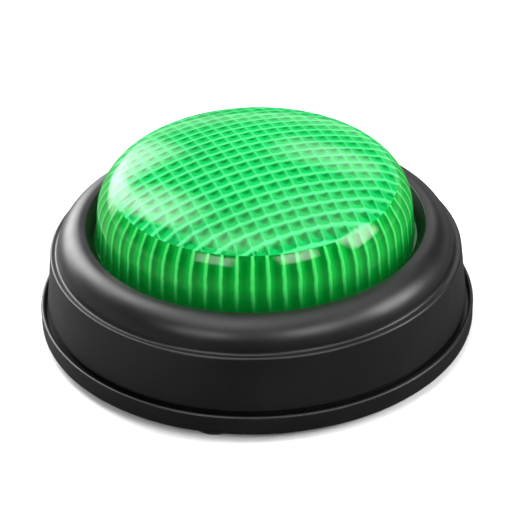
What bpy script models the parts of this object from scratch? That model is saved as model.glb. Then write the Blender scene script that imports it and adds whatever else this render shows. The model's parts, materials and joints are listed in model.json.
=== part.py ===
"""Quiz buzzer: a press-down dome button with light and sound, on a round battery base.

Metres, +Z up. The origin is the centre of the footprint, on the plane that the feet rest on.
The base and the housing bolt together round the button, which slides straight down.
"""

import math

import bmesh
import bpy
from mathutils import Matrix, Vector

MM = 0.001
GAP = 0.3 * MM  # clearance between neighbouring pieces

# How finely round things are divided
LARGE_STEPS = 56
MEDIUM_STEPS = 40
SMALL_STEPS = 20
TINY_STEPS = 12

# Base plate: a dish whose rim stands round the foot of the housing
FOOT_STAND = 1.7 * MM
BASE_RADIUS = 45.0 * MM
RIM_HEIGHT = 4.2 * MM
RIM_THICK = 0.9 * MM
FLOOR_THICK = 2.4 * MM
GROOVE_DEPTH = 1.2 * MM
SPIGOT_THICK = 1.9 * MM
SPIGOT_HEIGHT = 2.3 * MM
BASE_EDGE = 0.7 * MM
FLOOR_TOP = FOOT_STAND + FLOOR_THICK
RIM_TOP = FOOT_STAND + RIM_HEIGHT
GROOVE_FLOOR = RIM_TOP - GROOVE_DEPTH

# Upper housing: a tapered wall, a ledge, and a crowned ring that holds the button in
WALL_FOOT_RADIUS = 43.5 * MM
WALL_THICK = 2.0 * MM
TONGUE_STEP = 0.9 * MM
WALL_CLEARANCE = 0.4 * MM
WALL_FOOT = RIM_TOP + WALL_CLEARANCE
LEDGE_RADIUS = 42.35 * MM
LEDGE_TOP = 17.8 * MM
LEDGE_ROUND = 0.45 * MM
RING_RADIUS = 40.9 * MM
CROWN_RADIUS = 35.3 * MM
CROWN_TOP = 23.5 * MM
LIP_EDGE_RADIUS = 34.7 * MM
LIP_RADIUS = 33.2 * MM
LIP_FLOOR = 20.6 * MM
LIP_LAND = 0.5 * MM
SPIGOT_RADIUS = WALL_FOOT_RADIUS - WALL_THICK - WALL_CLEARANCE

# Lens: a wall that leans in, a rounded shoulder and a shallow dome
APEX = 40.0 * MM
DOME_RADIUS = 77.0 * MM
SHOULDER_RADIUS = 10.2 * MM
SHOULDER_CENTRE = 22.0 * MM
LENS_THICK = 2.0 * MM
LENS_DRAFT = math.radians(4.4)
LENS_RIM_RADIUS = 35.2 * MM
LENS_RIM_THICK = 1.7 * MM
LENS_RIM_CLEARANCE = 1.4 * MM
LENS_RIM_TOP = LIP_FLOOR - GAP
LENS_BOTTOM = LENS_RIM_TOP - LENS_RIM_THICK
DOME_CENTRE = APEX - DOME_RADIUS
SHOULDER_HEIGHT = DOME_CENTRE + math.sqrt((DOME_RADIUS - SHOULDER_RADIUS) ** 2 - SHOULDER_CENTRE**2)
SHOULDER_ANGLE = math.atan2(SHOULDER_HEIGHT - DOME_CENTRE, SHOULDER_CENTRE)

# Travel of the moving pieces
BUTTON_TRAVEL = 3.0 * MM
PLUNGER_TRAVEL = 0.25 * MM

# Battery bay: two AAA cells side by side, lying along X, in front of the centre
CELL_RADIUS = 5.15 * MM
CELL_LENGTH = 43.7 * MM
CELL_NUB_RADIUS = 1.9 * MM
CELL_NUB_LENGTH = 0.8 * MM
CELL_PITCH = 11.2 * MM
BAY_Y = -14.0 * MM
BAY_LENGTH = 50.0 * MM
BAY_WIDTH = 23.2 * MM
BAY_WALL = 1.2 * MM
DOOR_THICK = 1.7 * MM
DOOR_TOP = FOOT_STAND + DOOR_THICK
CELL_Z = DOOR_TOP + GAP + CELL_RADIUS
BAY_CEILING = CELL_Z + CELL_RADIUS + GAP
BAY_CEILING_THICK = 0.9 * MM
BAY_TOP = BAY_CEILING + BAY_CEILING_THICK
CELL_NUB_X = 24.0 * MM
CONTACT_X = 24.2 * MM
CONTACT_THICK = 0.4 * MM
CONTACT_LOW = 5.7 * MM
CONTACT_HIGH = 13.4 * MM
CONTACT_HALF_WIDTH = 4.5 * MM
TAB_Z = 10.0 * MM
TAB_HALF_WIDTH = 1.0 * MM
TAB_REACH = 1.0 * MM
TAB_END_X = BAY_LENGTH / 2 + BAY_WALL + TAB_REACH
TAB_SLOT_HALF_WIDTH = 2.0 * MM
TAB_SLOT_HALF_HEIGHT = 1.0 * MM

# Battery door: hooks on the front long edge, an ear with a screw on the rear one
DOOR_LENGTH = 52.0 * MM
DOOR_WIDTH = 24.6 * MM
DOOR_SWING = math.radians(25)
HOOK_X = 14.0 * MM
HOOK_WIDTH = 5.0 * MM
HOOK_THICK = 1.0 * MM
HOOK_REACH = 2.9 * MM
HOOK_SLACK = DOOR_THICK * math.sin(DOOR_SWING) + GAP
EAR_RADIUS = 3.5 * MM
DOOR_FRONT = BAY_Y - DOOR_WIDTH / 2
DOOR_REAR = BAY_Y + DOOR_WIDTH / 2
EAR_OFFSET = 2.1 * MM
EAR_Y = DOOR_REAR + EAR_OFFSET
EAR_WELL_DEPTH = 1.2 * MM
HINGE_Y = DOOR_FRONT - GAP
BOSS_RADIUS = 3.2 * MM
BOSS_TOP = 9.5 * MM
BOSS_CAP = 1.0 * MM

# Fixing pillars, feet and screws
PILLAR_ORBIT = 36.8 * MM
PILLAR_RADIUS = 4.0 * MM
PILLAR_TOP = 8.5 * MM
PILLAR_FIRST_ANGLE = math.radians(32)
POST_RADIUS = 3.0 * MM
POST_BOTTOM = PILLAR_TOP + GAP
POST_TOP = 13.4 * MM
POST_WEB_WIDTH = 1.6 * MM
SCREW_RADIUS = 1.3 * MM
SCREW_HEAD_RADIUS = 2.6 * MM
SCREW_HEAD_HEIGHT = 1.6 * MM
SCREW_SEAT = 5.2 * MM
SCREW_TOP_SHARE = 0.8  # the head's flat top, as a share of its radius
RECESS_LENGTH_SHARE = 0.6
RECESS_WIDTH_SHARE = 0.16
RECESS_DEPTH_SHARE = 0.6  # of the head's height
HOUSING_SCREW_LENGTH = 6.4 * MM
BOARD_SCREW_LENGTH = 5.0 * MM
RETAINER_SCREW_LENGTH = 1.8 * MM
DOOR_SCREW_LENGTH = 4.2 * MM
DOOR_SCREW_HEAD = 0.8 * MM
FOOT_ORBIT = 38.8 * MM
FOOT_RADIUS = 4.5 * MM
FOOT_SOCKET_DEPTH = 0.8 * MM
FOOT_FIRST_ANGLE = math.radians(77)
FOOT_EDGE = 0.35 * MM
QUARTER_TURNS = 4

# Circuit board and what it carries
BOARD_RADIUS = 27.6 * MM
BOARD_THICK = 1.2 * MM
BOARD_BOTTOM = BAY_TOP + GAP
BOARD_TOP = BOARD_BOTTOM + BOARD_THICK
PART_FLOOR = BOARD_TOP + GAP
STAND_X = 20.5 * MM
STAND_Y = 12.0 * MM
STAND_RADIUS = 2.6 * MM
LOCATOR_Y = -22.0 * MM
LOCATOR_RADIUS = 0.9 * MM
SWITCH_SIDE = 6.0 * MM
SWITCH_HEIGHT = 3.4 * MM
PLUNGER_RADIUS = 1.7 * MM
PLUNGER_TOP = 21.5 * MM
PLUNGER_WELL = 1.2 * MM
LED_OFFSET = 12.0 * MM
LED_RADIUS = 2.5 * MM
LED_FLANGE_RADIUS = 2.9 * MM
LED_FLANGE_HEIGHT = 1.0 * MM
LED_HEIGHT = 8.6 * MM
CHIP_Y = -13.2 * MM
CHIP_RADIUS = 4.2 * MM
CHIP_HEIGHT = 1.5 * MM
RESISTOR_X = 20.0 * MM
RESISTOR_Y = -3.0 * MM
RESISTOR_RADIUS = 0.9 * MM
RESISTOR_LENGTH = 6.0 * MM
CAPACITOR_X = -12.0 * MM
CAPACITOR_Y = 3.8 * MM
CAPACITOR_RADIUS = 2.5 * MM
CAPACITOR_HEIGHT = 7.0 * MM

# Carrier: the plate inside the lens, with the spring cup and the pusher
CARRIER_RADIUS = 29.7 * MM
CARRIER_THICK = 1.4 * MM
CARRIER_TOP = 24.0 * MM
CARRIER_SKIRT = 1.2 * MM
CARRIER_BOTTOM = LENS_BOTTOM + GAP
CUP_RADIUS = 9.2 * MM
CUP_WALL = 1.1 * MM
CUP_TOP = 27.6 * MM
CUP_CEILING = CUP_TOP - CUP_WALL
PUSHER_RADIUS = 2.5 * MM
PUSHER_CLEARANCE = 0.1 * MM
PUSHER_BOTTOM = PLUNGER_TOP - PLUNGER_TRAVEL + BUTTON_TRAVEL + PUSHER_CLEARANCE
REFLECTOR_RADIUS = 28.6 * MM
REFLECTOR_THICK = 0.4 * MM
LED_HOLE_RADIUS = 3.4 * MM

# Speaker, face down over a slotted grille
SPEAKER_Y = 21.5 * MM
SPEAKER_RADIUS = 14.0 * MM
SPEAKER_BOTTOM = FLOOR_TOP + GAP
SPEAKER_HEIGHT = 2.6 * MM
SPEAKER_TOP = SPEAKER_BOTTOM + SPEAKER_HEIGHT
SPEAKER_RIM = 1.4 * MM
SPEAKER_PLATE = 0.8 * MM
MAGNET_RADIUS = 7.0 * MM
MAGNET_BOTTOM = 6.1 * MM
MAGNET_TOP = 9.9 * MM
CONE_THICK = 0.3 * MM
CONE_RIM_Z = 4.8 * MM
CONE_DOME_RISE = 0.4 * MM
SEAT_WALL = 1.2 * MM
GRILLE_SLOTS = 7
GRILLE_PITCH = 3.0 * MM
GRILLE_SLOT = 1.3 * MM
GRILLE_RADIUS = 10.8 * MM
RETAINER_THICK = 1.0 * MM
RETAINER_BOTTOM = SPEAKER_TOP + GAP
RETAINER_TOP = RETAINER_BOTTOM + RETAINER_THICK
RETAINER_EAR_X = 18.6 * MM
RETAINER_INSET = 2.0 * MM
RETAINER_LAP = 1.0 * MM

# Springs and wires
SPRING_RADIUS = 6.9 * MM
SPRING_WIRE = 0.4 * MM
SPRING_TURNS = 5
BATTERY_SPRING_LARGE = 3.9 * MM
BATTERY_SPRING_SMALL = 2.5 * MM
BATTERY_SPRING_WIRE = 0.3 * MM
BATTERY_SPRING_TURNS = 3
LEAD_RADIUS = 0.55 * MM
LEAD_GAP = LEAD_RADIUS + GAP
LEAD_BEND = 3.0 * MM
LEAD_X = TAB_END_X + LEAD_GAP
RED_LEAD_X = 20.0 * MM
RED_LEAD_Y = 3.0 * MM
BLACK_LEAD_X = 16.5 * MM
BLACK_LEAD_Y = 6.5 * MM
SPEAKER_LEAD_X = 4.0 * MM
SPEAKER_LEAD_REACH = 3.0 * MM

BLACK = (0.012, 0.012, 0.013)


# --- scene, collections and materials -----------------------------------------------------------


def clear_scene():
    for obj in list(bpy.data.objects):
        bpy.data.objects.remove(obj, do_unlink=True)


def new_collection(name):
    collection = bpy.data.collections.new(name)
    bpy.context.scene.collection.children.link(collection)
    return collection


def principled(name, colour, roughness, metallic=0.0, see_through=0.0):
    material = bpy.data.materials.new(name)
    material.use_nodes = True
    shader = material.node_tree.nodes["Principled BSDF"]
    shader.inputs["Base Color"].default_value = (*colour, 1.0)
    shader.inputs["Roughness"].default_value = roughness
    shader.inputs["Metallic"].default_value = metallic
    shader.inputs["Transmission Weight"].default_value = see_through
    material.diffuse_color = (*colour, 1.0)
    return material


def add_object(name, mesh, material, at=(0, 0, 0), parent=None):
    """A visible piece. Its place is relative to its parent, if it has one."""
    obj = bpy.data.objects.new(name, mesh)
    obj.location = at
    obj.parent = parent
    if material:
        mesh.materials.append(material)
    PARTS.objects.link(obj)
    return obj


def as_tool(obj):
    """Makes the object a hidden helper, for a Boolean to use."""
    PARTS.objects.unlink(obj)
    CUTTERS.objects.link(obj)
    obj.hide_render = True
    obj.display_type = "WIRE"
    return obj


def axis_empty(name, at):
    """An empty on a joint's axis, for the pieces that move together."""
    empty = bpy.data.objects.new(name, None)
    empty.location = at
    PARTS.objects.link(empty)
    return empty


def smooth(obj):
    obj.data.shade_smooth()
    obj.data.set_sharp_from_angle(angle=math.radians(30))


# --- basic shapes -------------------------------------------------------------------------------


def turned(name, outline, material, steps, at=(0, 0, 0), parent=None):
    """A turned piece, from (radius, height) points that run down its outer side.

    An outline that ends on the axis stays open there, and any other is closed into a ring.
    """
    mesh = bpy.data.meshes.new(name)
    shape = bmesh.new()
    corners = [shape.verts.new((radius, 0, height)) for radius, height in outline]
    for first, second in zip(corners, corners[1:]):
        shape.edges.new((first, second))
    if outline[0][0] > 0:
        shape.edges.new((corners[-1], corners[0]))
    shape.to_mesh(mesh)
    shape.free()
    obj = add_object(name, mesh, material, at, parent)
    screw = obj.modifiers.new("Turn", "SCREW")
    screw.steps = steps
    screw.render_steps = steps
    screw.use_merge_vertices = True
    screw.merge_threshold = 0.00001
    screw.use_smooth_shade = True
    return obj


def arc(centre, radii, start, end, steps):
    """Points along an ellipse's arc, from one angle to another, both ends included."""
    turn = [start + (end - start) * step / steps for step in range(steps + 1)]
    return [(centre[0] + radii[0] * math.cos(a), centre[1] + radii[1] * math.sin(a)) for a in turn]


def box(name, low, high, material=None, parent=None, edge=0.0):
    """A box between two corners, with its edges bevelled by edge."""
    low = Vector(low)
    high = Vector(high)
    mesh = bpy.data.meshes.new(name)
    shape = bmesh.new()
    bmesh.ops.create_cube(shape, size=1, matrix=Matrix.Diagonal((*(high - low), 1)))
    shape.to_mesh(mesh)
    shape.free()
    obj = add_object(name, mesh, material, (low + high) / 2, parent)
    if edge:
        bevel = obj.modifiers.new("Edge", "BEVEL")
        bevel.width = edge
        bevel.segments = 1
    return obj


def rod(name, radius, low, high, material=None, steps=SMALL_STEPS, at=(0, 0), parent=None):
    """An upright cylinder between two heights."""
    mesh = bpy.data.meshes.new(name)
    shape = bmesh.new()
    bmesh.ops.create_cone(
        shape, cap_ends=True, segments=steps, radius1=radius, radius2=radius, depth=high - low
    )
    shape.to_mesh(mesh)
    shape.free()
    obj = add_object(name, mesh, material, (at[0], at[1], (low + high) / 2), parent)
    smooth(obj)
    return obj


def wire(name, points, radius, material, sides=1, parent=None):
    """A round wire through the points."""
    curve = bpy.data.curves.new(name, "CURVE")
    curve.dimensions = "3D"
    curve.bevel_depth = radius
    curve.bevel_resolution = sides
    curve.use_fill_caps = True
    spline = curve.splines.new("POLY")
    spline.points.add(len(points) - 1)
    for point, place in zip(spline.points, points):
        point.co = (*place, 1)
    spline.use_smooth = True
    return add_object(name, curve, material, parent=parent)


def rounded_path(points, radius, steps=3):
    """The points with each inner corner replaced by a short curve."""
    points = [Vector(point) for point in points]
    path = [points[0]]
    for before, corner, after in zip(points, points[1:], points[2:]):
        reach = min(radius, (before - corner).length / 2, (after - corner).length / 2)
        start = corner + (before - corner).normalized() * reach
        end = corner + (after - corner).normalized() * reach
        for step in range(steps + 1):
            share = step / steps
            path.append(start.lerp(corner, share).lerp(corner.lerp(end, share), share))
    path.append(points[-1])
    return path


def combine(target, tool, operation):
    """Joins the tool to the target, or cuts it away, with a Boolean on the target."""
    change = target.modifiers.new(tool.name, "BOOLEAN")
    change.operation = operation
    change.solver = "EXACT"
    change.object = as_tool(tool)


def join(target, tool):
    combine(target, tool, "UNION")


def cut(target, tool):
    combine(target, tool, "DIFFERENCE")


def around(orbit, first_angle):
    """The four points a quarter turn apart on a circle."""
    angles = [first_angle + turn * math.tau / QUARTER_TURNS for turn in range(QUARTER_TURNS)]
    return [(orbit * math.cos(angle), orbit * math.sin(angle), angle) for angle in angles]


# --- base ---------------------------------------------------------------------------------------


def base_outline():
    """The dish in section: rim, groove, spigot ring and floor."""
    outer_foot = arc(
        (BASE_RADIUS - BASE_EDGE, FOOT_STAND + BASE_EDGE), (BASE_EDGE, BASE_EDGE), 0, -math.pi / 2, 1
    )
    outer_top = arc(
        (BASE_RADIUS - RIM_THICK / 2, RIM_TOP - RIM_THICK / 2),
        (RIM_THICK / 2, RIM_THICK / 2),
        math.pi,
        0,
        2,
    )
    return [
        (0, FLOOR_TOP),
        (SPIGOT_RADIUS - SPIGOT_THICK, FLOOR_TOP),
        (SPIGOT_RADIUS - SPIGOT_THICK, RIM_TOP + SPIGOT_HEIGHT),
        (SPIGOT_RADIUS, RIM_TOP + SPIGOT_HEIGHT),
        (SPIGOT_RADIUS, GROOVE_FLOOR),
        (BASE_RADIUS - RIM_THICK, GROOVE_FLOOR),
        *outer_top,
        *outer_foot,
        (0, FOOT_STAND),
    ]


def add_base_ribs(base):
    """Everything that stands up from the floor: bay, pillars, stands and speaker seat."""
    half_length = BAY_LENGTH / 2 + BAY_WALL
    half_width = BAY_WIDTH / 2 + BAY_WALL
    join(
        base,
        box(
            "bay_block",
            (-half_length, BAY_Y - half_width, FLOOR_TOP - GAP),
            (half_length, BAY_Y + half_width, BAY_TOP),
        ),
    )
    for number, (x, y, _) in enumerate(around(PILLAR_ORBIT, PILLAR_FIRST_ANGLE), 1):
        join(base, rod(f"pillar_{number}", PILLAR_RADIUS, FLOOR_TOP - GAP, PILLAR_TOP, at=(x, y)))
    for side in (-1, 1):
        stand = rod(
            f"board_stand_{side}",
            STAND_RADIUS,
            FLOOR_TOP - GAP,
            BOARD_BOTTOM - GAP,
            steps=TINY_STEPS,
            at=(side * STAND_X, STAND_Y),
        )
        join(base, stand)
        post = rod(
            f"retainer_post_{side}",
            STAND_RADIUS,
            FLOOR_TOP - GAP,
            SPEAKER_TOP,
            steps=TINY_STEPS,
            at=(side * RETAINER_EAR_X, SPEAKER_Y),
        )
        join(base, post)
    join(
        base,
        rod(
            "board_locator",
            LOCATOR_RADIUS,
            BAY_TOP - GAP,
            BOARD_TOP + GAP,
            steps=TINY_STEPS,
            at=(0, LOCATOR_Y),
        ),
    )
    join(base, rod("door_boss", BOSS_RADIUS, FLOOR_TOP - GAP, BOSS_TOP, at=(0, EAR_Y)))
    inner = SPEAKER_RADIUS + GAP
    seat = turned(
        "speaker_seat",
        [
            (inner + SEAT_WALL, SPEAKER_TOP - GAP),
            (inner + SEAT_WALL, FLOOR_TOP - GAP),
            (inner, FLOOR_TOP - GAP),
            (inner, SPEAKER_TOP - GAP),
        ],
        None,
        SMALL_STEPS,
        at=(0, SPEAKER_Y, 0),
    )
    join(base, seat)


def cut_battery_bay(base):
    """The hollow for the cells, the step the door sits in, and the slots for hooks and tabs."""
    below = FOOT_STAND - GAP
    half_length = BAY_LENGTH / 2
    half_width = BAY_WIDTH / 2
    cut(
        base,
        box(
            "bay_hollow",
            (-half_length, BAY_Y - half_width, below),
            (half_length, BAY_Y + half_width, BAY_CEILING),
        ),
    )
    step = DOOR_TOP + GAP / 2
    cut(
        base,
        box(
            "door_step",
            (-DOOR_LENGTH / 2 - GAP, DOOR_FRONT - HOOK_SLACK, below),
            (DOOR_LENGTH / 2 + GAP, DOOR_REAR + GAP, step),
        ),
    )
    cut(base, rod("ear_step", EAR_RADIUS + GAP, below, step, at=(0, EAR_Y)))
    cut(base, rod("door_screw_hole", SCREW_RADIUS + GAP, below, BOSS_TOP - BOSS_CAP, at=(0, EAR_Y)))
    for side in (-1, 1):
        reach = HOOK_WIDTH / 2 + 2 * GAP
        slot = box(
            f"hook_slot_{side}",
            (side * HOOK_X - reach, DOOR_FRONT - HOOK_REACH - GAP, FLOOR_TOP + GAP / 3),
            (side * HOOK_X + reach, BAY_Y - half_width + GAP, FLOOR_TOP + 3 * HOOK_THICK),
        )
        cut(base, slot)
        gate = box(
            f"hook_gate_{side}",
            (side * HOOK_X - reach, DOOR_FRONT - HOOK_SLACK, below),
            (side * HOOK_X + reach, BAY_Y - half_width + GAP, FLOOR_TOP + HOOK_THICK),
        )
        cut(base, gate)
        tab_y = BAY_Y + side * CELL_PITCH / 2
        tab = box(
            f"tab_slot_{side}",
            (half_length - GAP, tab_y - TAB_SLOT_HALF_WIDTH, TAB_Z - TAB_SLOT_HALF_HEIGHT),
            (
                half_length + BAY_WALL + GAP,
                tab_y + TAB_SLOT_HALF_WIDTH,
                TAB_Z + TAB_SLOT_HALF_HEIGHT,
            ),
        )
        cut(base, tab)


def cut_base_holes(base):
    """Screw wells, foot sockets and the sound slots."""
    below = FOOT_STAND - GAP
    for number, (x, y, _) in enumerate(around(PILLAR_ORBIT, PILLAR_FIRST_ANGLE), 1):
        cut(
            base,
            rod(f"screw_well_{number}", SCREW_HEAD_RADIUS + GAP, below, SCREW_SEAT, at=(x, y)),
        )
        shaft = rod(
            f"screw_hole_{number}",
            SCREW_RADIUS + GAP,
            below,
            PILLAR_TOP + GAP,
            steps=TINY_STEPS,
            at=(x, y),
        )
        cut(base, shaft)
    for number, (x, y, _) in enumerate(around(FOOT_ORBIT, FOOT_FIRST_ANGLE), 1):
        socket = rod(
            f"foot_socket_{number}",
            FOOT_RADIUS + GAP,
            below,
            FOOT_STAND + FOOT_SOCKET_DEPTH,
            at=(x, y),
        )
        cut(base, socket)
    for side in (-1, 1):
        for name, x, y, high in (
            ("stand", STAND_X, STAND_Y, BOARD_BOTTOM),
            ("post", RETAINER_EAR_X, SPEAKER_Y, SPEAKER_TOP + GAP),
        ):
            hole = rod(
                f"{name}_hole_{side}",
                SCREW_RADIUS + GAP,
                FLOOR_TOP + GAP,
                high,
                steps=TINY_STEPS,
                at=(side * x, y),
            )
            cut(base, hole)
    for slot in range(GRILLE_SLOTS):
        across = (slot - (GRILLE_SLOTS - 1) / 2) * GRILLE_PITCH
        reach = math.sqrt(GRILLE_RADIUS**2 - across**2)
        opening = box(
            f"sound_slot_{slot + 1}",
            (across - GRILLE_SLOT / 2, SPEAKER_Y - reach, below),
            (across + GRILLE_SLOT / 2, SPEAKER_Y + reach, FLOOR_TOP + GAP),
        )
        cut(base, opening)


def build_base(black):
    base = turned("base_plate", base_outline(), black, LARGE_STEPS)
    add_base_ribs(base)
    cut_battery_bay(base)
    cut_base_holes(base)


def build_feet(rubber):
    outline = [
        (0, FOOT_STAND + FOOT_SOCKET_DEPTH - GAP),
        (FOOT_RADIUS, FOOT_STAND + FOOT_SOCKET_DEPTH - GAP),
        (FOOT_RADIUS, FOOT_EDGE),
        (FOOT_RADIUS - FOOT_EDGE, 0),
        (0, 0),
    ]
    for number, (x, y, _) in enumerate(around(FOOT_ORBIT, FOOT_FIRST_ANGLE), 1):
        turned(f"rubber_foot_{number}", outline, rubber, SMALL_STEPS, at=(x, y, 0))


# --- housing ------------------------------------------------------------------------------------


def housing_outline():
    """The shell in section: crown, ledge and wall outside, then the inner side and the lip."""
    tongue_radius = WALL_FOOT_RADIUS - TONGUE_STEP
    tongue_bottom = GROOVE_FLOOR + GAP
    inner_top = LEDGE_RADIUS - WALL_THICK
    crown = arc(
        (CROWN_RADIUS, LEDGE_TOP),
        (RING_RADIUS - CROWN_RADIUS, CROWN_TOP - LEDGE_TOP),
        math.pi / 2,
        0,
        6,
    )
    corner = arc(
        (LEDGE_RADIUS - LEDGE_ROUND, LEDGE_TOP - LEDGE_ROUND),
        (LEDGE_ROUND, LEDGE_ROUND),
        math.pi / 2,
        0,
        2,
    )
    return [
        (LIP_EDGE_RADIUS, CROWN_TOP - LIP_LAND / 4),
        *crown,
        *corner,
        (WALL_FOOT_RADIUS, WALL_FOOT),
        (tongue_radius, WALL_FOOT),
        (tongue_radius, tongue_bottom),
        (WALL_FOOT_RADIUS - WALL_THICK, tongue_bottom),
        (inner_top, LEDGE_TOP - WALL_THICK),
        (RING_RADIUS - WALL_THICK, LEDGE_TOP),
        (LENS_RIM_RADIUS + LENS_RIM_CLEARANCE, LIP_FLOOR),
        (LIP_RADIUS, LIP_FLOOR),
        (LIP_RADIUS, LIP_FLOOR + LIP_LAND),
    ]


def build_housing(black):
    """The shell with four screw posts, each webbed to the wall."""
    housing = turned("upper_housing", housing_outline(), black, LARGE_STEPS)
    wall_middle = WALL_FOOT_RADIUS - WALL_THICK
    for number, (x, y, angle) in enumerate(around(PILLAR_ORBIT, PILLAR_FIRST_ANGLE), 1):
        web_low = (PILLAR_ORBIT, -POST_WEB_WIDTH / 2, POST_BOTTOM)
        web = box(f"post_web_{number}", web_low, (wall_middle, POST_WEB_WIDTH / 2, POST_TOP))
        web.location.rotate(Matrix.Rotation(angle, 3, "Z"))
        web.rotation_euler.z = angle
        join(housing, web)
        join(housing, rod(f"post_{number}", POST_RADIUS, POST_BOTTOM, POST_TOP, at=(x, y)))
    for number, (x, y, _) in enumerate(around(PILLAR_ORBIT, PILLAR_FIRST_ANGLE), 1):
        hole = rod(
            f"post_hole_{number}",
            SCREW_RADIUS + GAP,
            POST_BOTTOM - GAP,
            POST_TOP + GAP,
            steps=TINY_STEPS,
            at=(x, y),
        )
        cut(housing, hole)


# --- button -------------------------------------------------------------------------------------


def lens_surface(inset, dome_steps, shoulder_steps):
    """The dome, shoulder and leaning wall in section, moved inwards by inset."""
    dome = arc((0, DOME_CENTRE), [DOME_RADIUS - inset] * 2, math.pi / 2, SHOULDER_ANGLE, dome_steps)
    centre = (SHOULDER_CENTRE, SHOULDER_HEIGHT)
    shoulder = arc(
        centre, [SHOULDER_RADIUS - inset] * 2, SHOULDER_ANGLE, LENS_DRAFT, shoulder_steps
    )
    return dome + shoulder[1:]


def wall_radius(start, height):
    """The radius of the leaning wall below its upper end at start."""
    return start[0] + (start[1] - height) * math.tan(LENS_DRAFT)


def build_lens(green, button):
    outside = lens_surface(0, 4, 6)
    inside = lens_surface(LENS_THICK, 3, 3)
    outline = [
        *outside,
        (wall_radius(outside[-1], LENS_RIM_TOP), LENS_RIM_TOP),
        (LENS_RIM_RADIUS, LENS_RIM_TOP),
        (LENS_RIM_RADIUS, LENS_BOTTOM),
        (wall_radius(inside[-1], LENS_BOTTOM), LENS_BOTTOM),
        *reversed(inside),
    ]
    turned("lens_dome", outline, green, MEDIUM_STEPS, parent=button)


def carrier_outline():
    """The plate in section, from the cup's closed top out to the skirt and back underneath."""
    underside = CARRIER_TOP - CARRIER_THICK
    return [
        (0, CUP_TOP),
        (CUP_RADIUS, CUP_TOP),
        (CUP_RADIUS, CARRIER_TOP),
        (CARRIER_RADIUS, CARRIER_TOP),
        (CARRIER_RADIUS, CARRIER_BOTTOM),
        (CARRIER_RADIUS - CARRIER_SKIRT, CARRIER_BOTTOM),
        (CARRIER_RADIUS - CARRIER_SKIRT, underside),
        (CUP_RADIUS - CUP_WALL, underside),
        (CUP_RADIUS - CUP_WALL, CUP_CEILING),
        (PUSHER_RADIUS, CUP_CEILING),
        (PUSHER_RADIUS, PUSHER_BOTTOM),
        (0, PUSHER_BOTTOM),
    ]


def led_places():
    return [(x, y) for x in (-LED_OFFSET, LED_OFFSET) for y in (-LED_OFFSET, LED_OFFSET)]


def build_carrier(white, card, button):
    carrier = turned("button_carrier", carrier_outline(), white, MEDIUM_STEPS, parent=button)
    low = CARRIER_TOP + GAP
    reflector = turned(
        "reflector_disc",
        [
            (REFLECTOR_RADIUS, low + REFLECTOR_THICK),
            (REFLECTOR_RADIUS, low),
            (CUP_RADIUS + GAP, low),
            (CUP_RADIUS + GAP, low + REFLECTOR_THICK),
        ],
        card,
        MEDIUM_STEPS,
        parent=button,
    )
    for number, place in enumerate(led_places(), 1):
        for plate, name in ((carrier, "carrier"), (reflector, "reflector")):
            hole = rod(
                f"{name}_led_hole_{number}",
                LED_HOLE_RADIUS,
                CARRIER_TOP - 2 * CARRIER_THICK,
                CARRIER_TOP + CARRIER_THICK,
                steps=TINY_STEPS,
                at=place,
            )
            cut(plate, hole)


def build_return_spring(steel, button):
    """A coil that stands on the circuit board and pushes the cup up."""
    low = PART_FLOOR + SPRING_WIRE
    high = CUP_CEILING - GAP - SPRING_WIRE
    steps = SPRING_TURNS * SMALL_STEPS // 2
    turns = [step / steps for step in range(steps + 1)]
    points = [
        (
            SPRING_RADIUS * math.cos(SPRING_TURNS * math.tau * share),
            SPRING_RADIUS * math.sin(SPRING_TURNS * math.tau * share),
            low + (high - low) * share,
        )
        for share in turns
    ]
    wire("return_spring", points, SPRING_WIRE, steel, parent=button)


# --- circuit board ------------------------------------------------------------------------------


def build_board(green_board):
    board = rod(
        "circuit_board", BOARD_RADIUS, BOARD_BOTTOM, BOARD_TOP, green_board, steps=MEDIUM_STEPS
    )
    holes = [(side * STAND_X, STAND_Y, SCREW_RADIUS + GAP) for side in (-1, 1)]
    holes.append((0, LOCATOR_Y, LOCATOR_RADIUS + GAP))
    for number, (x, y, radius) in enumerate(holes, 1):
        hole = rod(
            f"board_hole_{number}",
            radius,
            BOARD_BOTTOM - GAP,
            BOARD_TOP + GAP,
            steps=TINY_STEPS,
            at=(x, y),
        )
        cut(board, hole)


def build_switch(black, red, plunger_axis):
    body = box(
        "switch_body",
        (-SWITCH_SIDE / 2, -SWITCH_SIDE / 2, PART_FLOOR),
        (SWITCH_SIDE / 2, SWITCH_SIDE / 2, PART_FLOOR + SWITCH_HEIGHT),
        black,
    )
    top = PART_FLOOR + SWITCH_HEIGHT
    cut(body, rod("plunger_well", PLUNGER_RADIUS + GAP, top - PLUNGER_WELL, top + GAP))
    low = top - PLUNGER_WELL + PLUNGER_TRAVEL + GAP
    rod("switch_plunger", PLUNGER_RADIUS, low, PLUNGER_TOP, red, parent=plunger_axis)


def build_leds(clear):
    side_top = LED_HEIGHT - LED_RADIUS
    outline = [
        *arc((0, side_top), (LED_RADIUS, LED_RADIUS), math.pi / 2, 0, 3),
        (LED_RADIUS, LED_FLANGE_HEIGHT),
        (LED_FLANGE_RADIUS, LED_FLANGE_HEIGHT),
        (LED_FLANGE_RADIUS, 0),
        (0, 0),
    ]
    for number, (x, y) in enumerate(led_places(), 1):
        turned(f"led_{number}", outline, clear, TINY_STEPS, at=(x, y, PART_FLOOR))


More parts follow.
